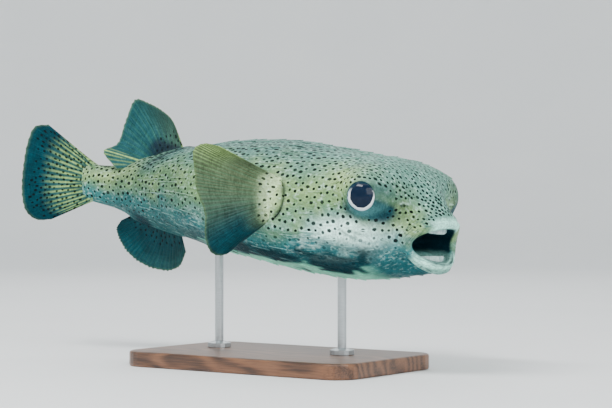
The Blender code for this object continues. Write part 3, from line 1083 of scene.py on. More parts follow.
    def body_markings(self, piece: Piece) -> None:
        """Keeps the colour zones of the body with each vertex.

        Args:
            piece: the skin, still straight.
        """
        straight = corners(piece)
        at = self.sides_of(straight, stored(piece, "place"))
        at["side"] = rise(at["off"], 18, 30)
        at["drift"] = lumps(straight, 14 * MM, 11) * 0.12 + lumps(straight, 5 * MM, 12, (2.5, 1, 1)) * 0.08
        u, z, off, rel, eye, side, drift = (at[name] for name in ("u", "z", "off", "rel", "eye", "side", "drift"))
        back = rise(rel + drift, 0.4, 0.95) * (0.75 + 0.25 * rise(u, 330, 300))
        under = side * hump((u - 68) / 26) * rise(-z, 0, 6)
        # Painted shadow in the two folds under the eye, which also dims the pale there.
        fold_shadow = 0.7 * under * (hump((eye - 33 - 6 * drift) / 1.3) + hump((eye - 38.5 - 6 * drift) / 1.3))
        pale, highlight_streak = self.light_zones(straight, at)
        # Painted shade: the lower half of the flank turns a shaded blue-teal.
        lower_shade = (0.95 - 0.1 * rise(u, 220, 300)) * rise(-rel + 1.6 * drift + 0.1 * rise(u, 250, 330), -0.2, 0.55)
        belly = rise(-rel - drift, 0.80, 0.88) * rise(u, 42, 72) * rise(u, 275, 215)
        yellow = most(
            side * Zone.FIN_YELLOW.on(at), 0.4 * rise(u, 340, 362) * rise(rel, 0.1, 0.6),
            side * (0.5 * Zone.TEMPLE.on(at) + 0.5 * Zone.MOUTH_CORNER.on(at)),
        )
        # The inside of the mouth is painted dark as shade, less deep on its floor.
        inside = rise(-at["lip"], 0.35, 1.05)
        upper, lower = (z > -12.5) * rise(off, 23, 13), rise(-z, 17, 25) * rise(off, 32, 27)
        bare = upper * rise(at["station"], 6.8, 3) + lower * rise(at["station"], 7.5, 4.4)
        # Painted shade in the creases of the mouth corners, cheek, lips and the lid's edge.
        crease_shade = most(
            rise(at["station"], 20, 10) * hump((z - 1) / 14) * rise(off, 14, 24) * (at["lip"] > -0.4),
            0.5 * side * Zone.CHEEK_FOLDS.on(at), (0.35 + 0.3 * (z < -12)) * bare,
            0.7 * hump((eye - 18) / 4) * rise(-z, -26, -14),
        )
        # The lid's blue-grey, laid on fully below and a little ahead of the eye as painted shade there.
        ahead = 0.3 * rise(-u, -54, -44) * rise(-z, -32, -20)
        lid = rise(eye + 14 * drift, 20.5, 15) * (0.2 + 0.8 * np.maximum(rise(-z, -26, -14), ahead))
        floor = inside * rise(-z, 17, 22) * rise(u, 42, 30)
        for name, amounts in (
            ("tone", (back, pale * (1 - fold_shadow), np.maximum(self.dark_zones(at, back), fold_shadow))),
            ("zone", (belly, np.clip(yellow, 0, 1), self.black_lines(at))),
            ("bare", (np.clip(bare - lid, 0, 1), inside - 0.6 * floor, lid)),
            # folds: painted highlight streaks, painted shade in creases and painted shade of the lower flank
            ("folds", (highlight_streak, crease_shade, lower_shade)),
            ("fin", (0, 0, 0)), ("web", (0, 0, 0)), ("rays", (0, 0, 0)),
        ):
            store(piece, name, amounts)

    @staticmethod
    def dark_zones(at: dict[str, Array], back: Array) -> Array:
        """Painted shadows round eye and lid, painted shade at the anal fin's foot and on the darker belly band;
        darker chin, stalk and back.

        Args:
            at: what sides_of gives, with "side" and "drift".
            back: how much of the back's colour there is.

        Returns:
            0 to 1 for each vertex.
        """
        u, z, rel, side, drift = (at[name] for name in ("u", "z", "rel", "side", "drift"))
        patch = side * (1.5 * Zone.EYE_SHADOW.on(at) + 0.7 * Zone.EYE_SHADOW_END.on(at))
        # The band along the belly's edge: a darker colour deepened with painted shade.
        band = rise(-rel + drift, 0.42, 0.72) * rise(u, 420, 330)
        band = band * (0.9 - 0.4 * rise(u, 190, 300) - 0.45 * rise(-u, -60, -35))
        # Painted shadow under the rim of the lid.
        lid_shadow = 0.7 * side * hump((at["eye"] - 19) / 4.5) * rise(-z, -24, -12)
        chin = 0.4 * rise(-z + drift * 20, 19, 30) * rise(u, 62, 40) * rise(at["station"], 6, 10)
        stern = 0.4 * rise(u, 225, 300) * rise(u, 420, 360)
        # Painted shade on the lower body round the foot of the anal fin.
        vent = 0.9 * hump((u - 345) / 24) * rise(-rel + drift, 0.3, 0.8)
        shaded = 0.3 * back * rise(u, 90, 150)
        dusk_and_shade = most(patch, 0.6 * side * Zone.BROW_SHADOW.on(at), band, lid_shadow, chin, stern, vent, shaded)
        return np.clip(dusk_and_shade * (1 + 2.2 * drift), 0, 1)

    def light_zones(self, straight: Array, at: dict[str, Array]) -> tuple[Array, Array]:
        """The pale zones, with a painted highlight on each nostril, and the zones of painted highlight streaks.

        Args:
            straight: vertices of the straight fish.
            at: what sides_of gives, with "side" and "drift".

        Returns:
            Each of them, 0 to 1 for each vertex.
        """
        u, z, side = at["u"], at["z"], at["side"]
        jowl, vent = side * Zone.JOWL.on(at), side * Zone.VENT.on(at)
        cheek = side * Zone.CHEEK.on(at) * rise(at["eye"], 18, 23)
        blur = rise(lumps(straight, 6 * MM, 13, (2.2, 1, 0.7)), 0.1, 0.6)
        # Painted highlight on the top of each nostril's tube.
        nostril_highlight = 0.35 * hump(np.hypot(u - self.nostril[0], z - self.nostril[2] - 1.5) / 1.4) * (at["off"] > 22)
        root = 0.12 * side * Zone.FIN_ROOT.on(at)
        pale = most(1.6 * cheek * (1 + 2 * at["drift"]), 0.4 * blur * np.maximum(jowl, 0.6 * vent), nostril_highlight, root)
        clumps = rise(lumps(straight, 9 * MM, 14, (1.6, 1, 0.8)), -0.1, 0.35)
        # Pale streaks painted as highlights along the creases of jowl, throat and lower flank.
        highlight_streak = most(0.8 * jowl, 0.35 * side * Zone.THROAT.on(at), 0.25 * vent) * clumps
        return np.clip(pale, 0, 1), np.clip(highlight_streak, 0, 1)

    def black_lines(self, at: dict[str, Array]) -> Array:
        """Darkest marks: painted shade in the gill slit, the lower lip's groove and fold and the nostrils; the blotch
        at the back fin's foot.

        Args:
            at: what sides_of gives.

        Returns:
            0 to 1 for each vertex.
        """
        u, z, off = at["u"], at["z"], at["off"]
        gill = self.gill_arc(at)
        slit = np.maximum(hump(gill / 1.1), 0.5 * hump((gill + 1.6) / 1.6))
        crease = hump((u - 322) / 20, (off - 12 - 0.35 * (u - 322)) / 7) * rise(at["rel"], 0.35, 0.6)
        groove = 0.9 * hump((at["lip"] + 0.4) / 0.17, (off - 10) / 15) * rise(-z, 15, 22)
        fold = 0.6 * hump((at["station"] - 4.6) / 0.7) * rise(-z, 19, 25) * rise(off, 28, 22)
        return most(slit, 0.8 * crease, groove, fold, 0.8 * rise(at["nose"], 1.7, 0.9))

    def body_spots(self, piece: Piece) -> SpotField:
        """Scatters the body's spots: small dashes close together over the head, round ones further apart behind.

        Args:
            piece: the skin, still straight.

        Returns:
            The spots.
        """
        rng = np.random.default_rng(5)
        straight, place = corners(piece), stored(piece, "place")
        faces = np.array([tuple(face.vertices) for face in piece.data.polygons if len(face.vertices) == 4])
        turned = (faces.argmin(axis=1)[:, None] + np.arange(4)) % 4
        faces = np.take_along_axis(faces, turned, axis=1)  # the lowest vertex first, so that the order never varies
        faces = faces[np.lexsort(faces.T[::-1])]
        share = rng.dirichlet(np.ones(4), len(faces))
        points = np.einsum("fk,fkc->fc", share, straight[faces])
        at = self.sides_of(points, np.einsum("fk,fkc->fc", share, place[faces]))
        u, z, rel = at["u"], at["z"], at["rel"]
        crown = rise(z, 26, 44) * rise(u, 118, 70)
        brow = crown * rise(u, 62, 40)
        snout = rise(u, 46, 26) * rise(z, -8, 4)
        spacing = 5.8 - 2.0 * crown - 0.1 * brow - 1.7 * snout * (1 - crown) - 0.6 * rise(u, 290, 360)
        spacing = spacing + 1.2 * rise(-rel, 0.1, 0.5) - 1.2 * rise(rel, 0.6, 0.9) * (1 - crown)
        width = 1.45 - 0.3 * crown - 0.35 * snout * (1 - crown) - 0.2 * rise(-rel, 0.15, 0.5)
        length = 1.15 + 0.25 * crown + 0.25 * rise(rel, 0.5, 0.8) * (1 - crown)
        dark = 1.0 - 0.55 * rise(-rel, 0.2, 0.6) * rise(u, 320, 290)
        belly = (rel < -0.78) | (z < -28) & (u < 60)
        lips = (at["lip"] < 1.9) | (at["station"] < 6.5 - 2 * rise(at["off"], 12, 22) * rise(z, -14, -8))
        eye = at["eye"] < 19.5 - 4.0 * rise(z, 28, 34)
        openings = (at["nose"] < 5.5) | (np.abs(self.gill_arc(at)) < 2.2)
        spacing = np.where(belly | lips | eye | openings, 0, spacing) * MM
        sizes = np.stack([width * MM, length, dark], axis=1)
        return SpotField.scattered(points, spacing, sizes, 7, self.pose)

    def fin(self, form: FinForm, number: int) -> tuple[Piece, Array]:
        """Models one fin with its rays and webs.

        Args:
            form: the fin.
            number: which patch of the unwrap it takes.

        Returns:
            The fin, still straight, and the direction of its rays at each vertex.
        """
        across, along = self.fin_faces
        piece, i, j = sheet(f"fin_{form.name}", across, along)
        a, b = i / across, (j / along) ** 0.9
        ray = form.ray(a, b)
        reach = b * (1 - form.scallop * (1 - form.ray(a, np.ones_like(a))) * rise(b, 0.6, 1.0))
        middle = form.middle(a, reach)
        ahead = form.middle(a, reach + 0.01) - middle
        root = (form.thickness - form.web) * np.exp(-b / form.fleshy_share)
        thick = 0.75 * MM + root + (0.45 - 0.25 * b) * ray * MM * rise(b, 0.02, 0.2)
        thick = thick * np.where((i == 0) | (i == across) | (j == along), 0.65, 1.0)
        move_corners(piece, middle)
        weights = piece.vertex_groups.new(name="thickness")
        for index, share in enumerate(thick / form.thickness):
            weights.add([index], min(1.0, float(share)), "REPLACE")
        plate = piece.modifiers.new("plate", "SOLIDIFY")
        plate.thickness = form.thickness
        plate.offset = 0
        plate.vertex_group = weights.name
        alone(piece)
        bpy.ops.object.modifier_apply(modifier=plate.name)
        piece.vertex_groups.clear()
        second = np.arange(2 * len(a)) >= len(a)
        a, b, ahead = np.tile(a, 2), np.tile(b, 2), np.tile(ahead, (2, 1))
        self.fin_markings(piece, form, a, b)
        (left, low), (wide, high), (pitch, gap) = self.fin_patch_start, self.fin_patch, self.fin_patch_gap
        store(piece, "chart", (left + pitch * number + wide * a, low + high * b + gap * second, 1))
        return piece, ahead

    def fin_markings(self, piece: Piece, form: FinForm, a: Array, b: Array) -> None:
        """Keeps the colour zones of a fin with each vertex, and where on the fin it is for the lines of the rays.

        Args:
            piece: the fin.
            form: its form.
            a: 0 at the front ray to 1 at the rear one, for each vertex.
            b: 0 at the root to 1 at the rays' ends.
        """
        dark, pale, blotch_and_slit_shade, yellow, rim = 0, 0, 0, 0, 0.2 * rise(b, 0.96, 1.0)
        amount = rise(b, 0.03, 0.14)
        if form.name == "dorsal":
            rim = np.maximum(rim, rise(a, 0.06, 0.0) * 0.8)
            # Painted light on the rear lobe, which faces up.
            pale = 0.7 * hump((a - 0.86) / 0.03) + 0.3 * rise(a, 0.78, 0.86)
            dark = 0.25 * rise(b, 0.5, 1.0)
            blotch_and_slit_shade = 0.75 * rise(b - 0.1 * rise(a, 0.2, 0.6), 0.34, 0.18) * rise(a, 0.8, 0.55)
        elif form.name == "caudal":
            pale = 0.85 * rise(b, 0.78, 0.4)
            dark = np.maximum(0.45, rise(b, 0.5, 0.76))
        elif form.name == "anal":
            # Painted shade: the anal fin darkened under the body, lighter out towards its edge.
            dark = 0.85 - 0.4 * rise(b, 0.4, 1.0) * rise(a, 0.9, 0.4)
        else:
            amount = rise(b, 0.1, 0.3)
            # Painted highlights on the tips of the upper rays.
            pale = rise(a, 0.34, 0.1) * rise(b, 0.5, 0.85)
            dark = rise(a, 0.4, 0.75) * rise(b, 0.15, 0.5)
            yellow = rise(b, 0.4, 0.15)
        olive = form.olive[0] + (form.olive[1] - form.olive[0]) * rise(a, 0.1, 0.6)
        light = form.pale[0] + (form.pale[1] - form.pale[0]) * rise(b, 0.2, 0.75)
        for name, amounts in (
            ("place", (2, 200, 0)),
            ("tone", (0, 0.15 * yellow, 0.2 * rise(b, 0.0, 0.1))),
            ("zone", (0, yellow, blotch_and_slit_shade)),
            ("bare", (0, 0, 0)), ("folds", (0, 0, 0)),
            ("fin", (amount, light, olive)),
            ("web", (np.clip(pale, 0, 1), np.clip(dark, 0, 1), rim)),
            ("rays", (a * form.rays, b, form.fork)),
        ):
            store(piece, name, amounts)

    def fin_spots(self, form: FinForm, tries: int = 4000) -> SpotField:
        """Scatters a fin's spots between its rays, long ones that end where the webs are plain.

        Args:
            form: the fin.
            tries: how many places are tried.

        Returns:
            The spots.
        """
        rng = np.random.default_rng(len(form.name) * 7 + form.rays)
        a, b = rng.random(tries), rng.random(tries) ** 0.7
        points = form.middle(a, b)
        clear = b > form.spot_reach * rng.uniform(0.75, 1.25, len(b))
        if form.name == "dorsal":
            clear |= (b > 0.5 - 0.45 * rise(a, 0.25, 0.7)) & (a > 0.2)
        spacing = np.where(clear, 0, 4.4 if form.name == "caudal" else 5.4) * MM
        sizes = np.tile((1.05 * MM, 1.6, 0.95), (tries, 1))
        return SpotField.scattered(points, spacing, sizes, 11, self.pose)

    def finish_piece(self, piece: Piece, ahead: Array) -> None:
        """Poses a straight piece, and keeps the direction of its markings along its surface.

        Args:
            piece: the straight piece.
            ahead: the direction of the markings at each vertex, still straight.
        """
        straight = corners(piece)
        posed = self.pose.place(straight)
        move_corners(piece, posed)
        normal = normals_of(piece)
        flow = self.pose.place(straight + ahead * 0.01) - posed
        store(piece, "flow", unit(flow - normal * (flow * normal).sum(axis=1, keepdims=True)))

    def unwrap(self, piece: Piece) -> None:
        """Writes the kept chart as the piece's own map, faces on a seam drawn to one side of it.

        Args:
            piece: the whole skin, body and fins joined.
        """
        places = stored(piece, "chart")[face_vertices(piece)]
        counts = read(piece.data.polygons, "loop_total", 1)[:, 0].astype(int)
        first = np.concatenate([[0], np.cumsum(counts)[:-1]])

        def over_face(how: np.ufunc, column: int) -> Array:
            """What a face's corners come to, for each of its corners."""
            return np.repeat(how.reduceat(places[:, column], first), counts)

        wide = 60  # only a face on the belly's seam is wider than this
        far = 85  # more than one side of a fin takes, and less than the way to its other side
        spread = over_face(np.maximum, 1) - over_face(np.minimum, 1)
        on_body, left = places[:, 2] < 0.5, over_face(np.add, 1) >= 0
        wrong = (spread > wide) & on_body & (np.sign(places[:, 1]) != np.where(left, 1, -1))
        places[wrong, 1] *= -1
        edge = (over_face(np.maximum, 2) > 0.5) & (spread > far)
        second = places[:, 1] > self.fin_patch_start[1] + far
        places[edge & second, 1] -= self.fin_patch_gap[1] + self.fin_edge
        places[:, 1] += np.where(on_body, self.chart_middle, 0)
        write_map(piece, places[:, :2] / self.chart_size)

    def build(self) -> Piece:
        """Models the whole skin.

        Returns:
            The skin of body and fins as one piece, posed and marked, without its finish.
        """
        piece = self.body()
        self.relief(piece)
        self.body_markings(piece)
        spots = self.body_spots(piece)
        LOG.info("body: %d vertices, %d spots", len(piece.data.vertices), len(spots.middles))
        self.finish_piece(piece, np.tile((1.0, 0.0, 0.0), (len(piece.data.vertices), 1)))
        spots.mark(piece)
        parts = [piece]
        for number, form in enumerate(fins_of(self.form)):
            fin, ahead = self.fin(form, number)
            self.finish_piece(fin, ahead)
            self.fin_spots(form).mark(fin)
            parts.append(fin)
        alone(piece)
        for part in parts:
            part.select_set(True)
        bpy.ops.object.join()
        self.unwrap(piece)
        bpy.ops.object.shade_smooth()
        return piece


@dataclass
class Spines:
    """The long spines, folded flat along the body, each sunk in the skin but for its back and its tip."""

    skin: Skin
    row_gap: float = 18.5  # millimetres between rows
    spine_gap: float = 17.0  # and round a row
    stations: tuple[float, float] = (24.0, 338.0)
    sides: int = 7
    patch_size: float = 1.8  # millimetres of the unwrap that a spine takes
    # share of the length, height over the skin and radius, in millimetres
    profile: tuple = (
        (0.0, -0.9, 0.4), (0.12, -0.42, 0.62), (0.35, -0.2, 0.58), (0.6, -0.1, 0.48), (0.82, 0.02, 0.36),
        (1.0, 0.3, 0.07),
    )

    def length(self, u: float, rel: float) -> float:
        """A spine's length at station u and relative height rel: short in front, longest behind the pectoral fins."""
        behind, tail, low = rise(u, 60, 165), rise(u, 250, 330), rise(-rel, 0.45, 0.9)
        return float((11.5 + 19 * behind - 12 * tail) * (1 - 0.4 * low))

    def template(self) -> tuple[Array, list[tuple[int, ...]]]:
        """Models one spine, from a cylinder.

        Returns:
            Its share of the length and its section at each vertex, and its faces.
        """
        bpy.ops.object.select_all(action="DESELECT")
        bpy.ops.mesh.primitive_cylinder_add(
            vertices=self.sides, radius=1, depth=1, location=(0, 0, 0.5), calc_uvs=False
        )
        made = added("spine_pattern")
        alone(made)
        bpy.ops.object.transform_apply(location=True)
        with editing(made):
            for share, *_ in self.profile[1:-1]:
                bpy.ops.mesh.select_all(action="SELECT")
                bpy.ops.mesh.bisect(plane_co=(0, 0, share), plane_no=(0, 0, 1))
        places = corners(made)
        faces = [tuple(face.vertices) for face in made.data.polygons]
        bpy.data.objects.remove(made)
        return places, faces

    def on_body(self, u: Array, turn: Array) -> Array:
        """Points of the body's outline at stations u, in metres, and angles turn."""
        return self.skin.form.outline(u, self.skin.form.section(u), turn)

    def roots(self) -> list[tuple[float, float, float]]:
        """Places the spines in staggered rows.

        Returns:
            Station in millimetres, angle and length in millimetres of each spine.
        """
        rng = np.random.default_rng(21)
        found = []
        angle = np.radians(np.linspace(-90, 270, 721))
        for row, u in enumerate(np.arange(*self.stations, self.row_gap)):
            ring = self.on_body(np.array([u * MM]), angle)[0]
            round_it = np.concatenate([[0], np.cumsum(np.linalg.norm(np.diff(ring, axis=0), axis=1))]) / MM
            count = max(6, round(round_it[-1] / self.spine_gap))
            for k in range(count):
                here = (k + 0.5 * (row % 2) + rng.uniform(-0.18, 0.18)) / count * round_it[-1]
                turn = float(np.interp(here % round_it[-1], round_it, angle))
                start = float(u + rng.uniform(-3, 3))
                place = self.on_body(np.array([start * MM]), np.array([turn]))[0]
                at = self.skin.sides_of(place, np.array([[2, start, math.degrees(turn)]]))
                long = self.length(start, float(at["rel"][0])) * rng.uniform(0.85, 1.12)
                if self.allowed(start, turn, long):
                    found.append((start, turn, long))
        return found

    def allowed(self, start: float, turn: float, long: float) -> bool:
        """Tells whether a spine keeps clear of eyes, mouth, nostrils, gill slits and fins.

        Args:
            start: its station in millimetres.
            turn: its angle.
            long: its length in millimetres.

        Returns:
            True where it does.
        """
        form, last = self.skin.form, 0.41  # the last station, in metres, whose section is taken
        along = (start + long * np.linspace(0, 1, 5)) * MM
        u, y, z = (form.outline(along, form.section(np.minimum(along, last)), np.array([turn]))[:, 0] / MM).T
        off = np.abs(y)
        eye = (np.hypot(u - self.skin.eye[0], z - self.skin.eye[2]) < 21) & (off > 30)
        nostril = (np.hypot(u - self.skin.nostril[0], z - self.skin.nostril[2]) < 7) & (off > 20)
        gill = (u > 128) & (u < 176) & (z > -14) & (z < 38) & (off > 35)
        fins = (u > 296) & (off < 10)
        mouth = (u < 24) & (z < 22)
        return not (eye | nostril | gill | fins | mouth).any()

    def build(self) -> Piece:
        """Models all spines as one mesh.

        Returns:
            The spines, marked as the skin under them and with their own map.
        """
        pattern, faces = self.template()
        shares, heights, radii = np.array(self.profile).T
        body = bpy.data.objects["skin"]
        surface = BVHTree.FromObject(body, bpy.context.evaluated_depsgraph_get())
        tree = finder(corners(body), np.flatnonzero(stored(body, "chart")[:, 2] < 0.5).tolist())
        level = np.rint(np.interp(pattern[:, 2], shares, np.arange(len(shares)))).astype(int)
        verts, roots = [], []
        for start, turn, long in self.roots():
            path = self.skin.pose.place(self.on_body((start + long * shares) * MM, np.array([turn]))[:, 0])
            hits = [surface.find_nearest(Vector(place)) for place in path]
            out = np.array([hit[1] for hit in hits])
            line = np.array([hit[0] for hit in hits]) + out * (heights * MM)[:, None]
            across = unit(np.cross(out, np.gradient(line, axis=0)))
            size = radii[level, None] * MM * (0.75 + 0.25 * min(long / 25, 1.0))
            verts.append(line[level] + size * (across[level] * pattern[:, :1] + out[level] * pattern[:, 1:2]))
            roots.append(tree.find(Vector(line[1]))[1])
        count = len(pattern)
        all_faces = [tuple(v + count * k for v in face) for k in range(len(verts)) for face in faces]
        mesh = bpy.data.meshes.new("spines")
        mesh.from_pydata(np.concatenate(verts).tolist(), [], all_faces)
        piece = bpy.data.objects.new("spines", mesh)
        bpy.context.scene.collection.objects.link(piece)
        self.carry(piece, body, np.repeat(roots, count), np.tile(pattern, (len(verts), 1)))
        face_out(piece)
        bpy.ops.object.shade_smooth()
        LOG.info("spines: %d", len(verts))
        return piece

    def carry(self, piece: Piece, body: Piece, roots: Array, pattern: Array) -> None:
        """Gives each spine the colour of the skin at its root, whiter to its tip, no spot, and a patch of the map.

        Args:
            piece: the spines.
            body: the skin.
            roots: the skin's vertex at the root of each spine vertex.
            pattern: the share of the length and the section of each vertex.
        """
        for name in ("tone", "zone", "bare", "folds", "fin", "web", "rays", "flow", "chart", "place"):
            store(piece, name, stored(body, name)[roots])
        tone = stored(piece, "tone")
        behind = 0.25 + 0.75 * rise(stored(piece, "place")[:, 1], 90, 150)
        tone[:, 1] = np.clip(tone[:, 1] + behind * (0.06 + 0.16 * rise(pattern[:, 2], 0.3, 1.0)), 0, 1)
        store(piece, "tone", tone)
        centres = read(piece.data.polygons, "center")
        store(piece, "spot_middle", centres, "FACE")
        store(piece, "spot_size", np.tile((1 * MM, 1.0, 0.0), (len(centres), 1)), "FACE")
        index = face_vertices(piece)
        root = stored(piece, "chart")[index, :2] + (0, self.skin.chart_middle)
        turned = np.arctan2(pattern[index, 1], pattern[index, 0]) / math.pi
        patch = np.stack([pattern[index, 2] - 0.5, 0.5 * turned], axis=1) * self.patch_size
        write_map(piece, (root + patch) / self.skin.chart_size)


@dataclass
class Eye:
    """A glass eye: a globe with a dark pupil in a silver ring under a polished front."""

    skin: Skin
    sign: int  # 1 on the fish's left, -1 on its right
    side: str
    forward: float = 26.0  # degrees that it looks ahead
    upward: float = 2.0

    def build(self) -> Piece:
        """Models the globe, and keeps its own coordinates for the finish.

        Returns:
            The eye, posed.
        """
        skin = self.skin
        bpy.ops.object.select_all(action="DESELECT")
        bpy.ops.mesh.primitive_uv_sphere_add(segments=72, ring_count=54, radius=skin.globe, calc_uvs=False)
        piece = added(f"eyeball_{self.side}")
        own = corners(piece)
        store(piece, "iris", own)
        forward, upward = math.radians(self.forward), math.radians(self.upward)
        out = unit(np.array((-math.sin(forward), self.sign * math.cos(forward), math.sin(upward))))
        across = unit(np.cross((0, 0, 1), out))
        turned = own @ np.stack([across, np.cross(out, across), out])
        centre = np.array(skin.eye) * (1, self.sign, 1)
        move_corners(piece, skin.pose.place((centre + turned) * MM))
        face_out(piece)
        bpy.ops.object.shade_smooth()
        return piece


def node(tree: Tree, kind: str, links: dict | None = None, out: int | str = 0, **settings: object) -> Socket:
    """Adds a node.

    Args:
        tree: the material's nodes.
        kind: the node's type, without ShaderNode.
        links: for each input, by name or number, the socket that feeds it, its value or its sRGB hex colour.
        out: which of its outputs is wanted, by name or number.
        **settings: the node's own settings.

    Returns:
        The output.
    """
    made = tree.nodes.new("ShaderNode" + kind)
    for name, value in settings.items():
        setattr(made, name, value)
    for key, value in (links or {}).items():
        if isinstance(value, Socket):
            tree.links.new(value, made.inputs[key])
        else:
            made.inputs[key].default_value = linear(value) if isinstance(value, str) else value
    return made.outputs[out]


def parts_of(tree: Tree, name: str) -> list[Socket]:
    """The three numbers that a mesh keeps under a name, as sockets."""
    kept = node(tree, "Attribute", out="Vector", attribute_name=name)
    return list(node(tree, "SeparateXYZ", {0: kept}).node.outputs)


def layered(tree: Tree, colour: Socket | str, *layers: tuple[Socket, Socket | str]) -> Socket:
    """Lays colours over each other.

    Args:
        tree: the material's nodes.
        colour: the lowest colour, a socket or sRGB hex.
        *layers: for each colour, how much of it covers what is under it, and the colour.

    Returns:
        The top colour.
    """
    for cover, over in layers:
        colour = node(tree, "Mix", {0: cover, 6: colour, 7: over}, out=2, data_type="RGBA")
    return colour


@dataclass(frozen=True)
class Finish:
    """A finish: its name, and what is the same all over it."""

    name: str
    roughness: float
    metallic: float = 0.0
    ior: float = 1.5
    coat: float = 0.0
    coat_roughness: float = 0.1
    coat_ior: float = 1.5

    def build(self) -> bpy.types.Material:
        """Makes the material: its even numbers on the shader, and what paint draws on top.

        Returns:
            The material.
        """
        material = bpy.data.materials.new(self.name)
        material.use_nodes = True
        tree = material.node_tree
        inputs = tree.nodes["Principled BSDF"].inputs
        for name, value in (
            ("Roughness", self.roughness), ("Metallic", self.metallic), ("IOR", self.ior),
            ("Coat Weight", self.coat), ("Coat Roughness", self.coat_roughness), ("Coat IOR", self.coat_ior),
        ):
            inputs[name].default_value = value
        for name, socket in self.paint(tree).items():
            tree.links.new(socket, inputs[name])
        return material

    def paint(self, tree: Tree) -> dict[str, Socket]:
        """What varies over the surface, by the name of the shader's input; each finish has its own."""
        raise NotImplementedError

    @staticmethod
    def grain(
        tree: Tree, size: float, detail: float, stretch: tuple = (1, 1, 1), where: Socket | None = None,
        span: tuple[float, float] | None = None, top: float = 1.0,
    ) -> Socket:
        """Noise from 0 to 1, or the patches of it above a level.

        Args:
            tree: the material's nodes.
            size: distance between lumps, in millimetres.
            detail: how many finer noises lie over it.
            stretch: how much longer the lumps are along each axis.
            where: the coordinates in millimetres, or None for the piece's own in metres.
            span: where the patches start and where they are full, or None for the noise itself.
            top: what a full patch is.

        Returns:
            The noise.
        """
        metre = 1.0 if where else 1 / MM
        where = where or node(tree, "TexCoord", out="Object")
        scale = tuple(metre / (size * s) for s in stretch)
        place = node(tree, "Mapping", {"Vector": where, "Scale": scale})
        noise = node(tree, "TexNoise", {"Vector": place, "Scale": 1.0, "Detail": detail})
        return node(tree, "MapRange", {0: noise, 1: span[0], 2: span[1], 4: top}) if span else noise


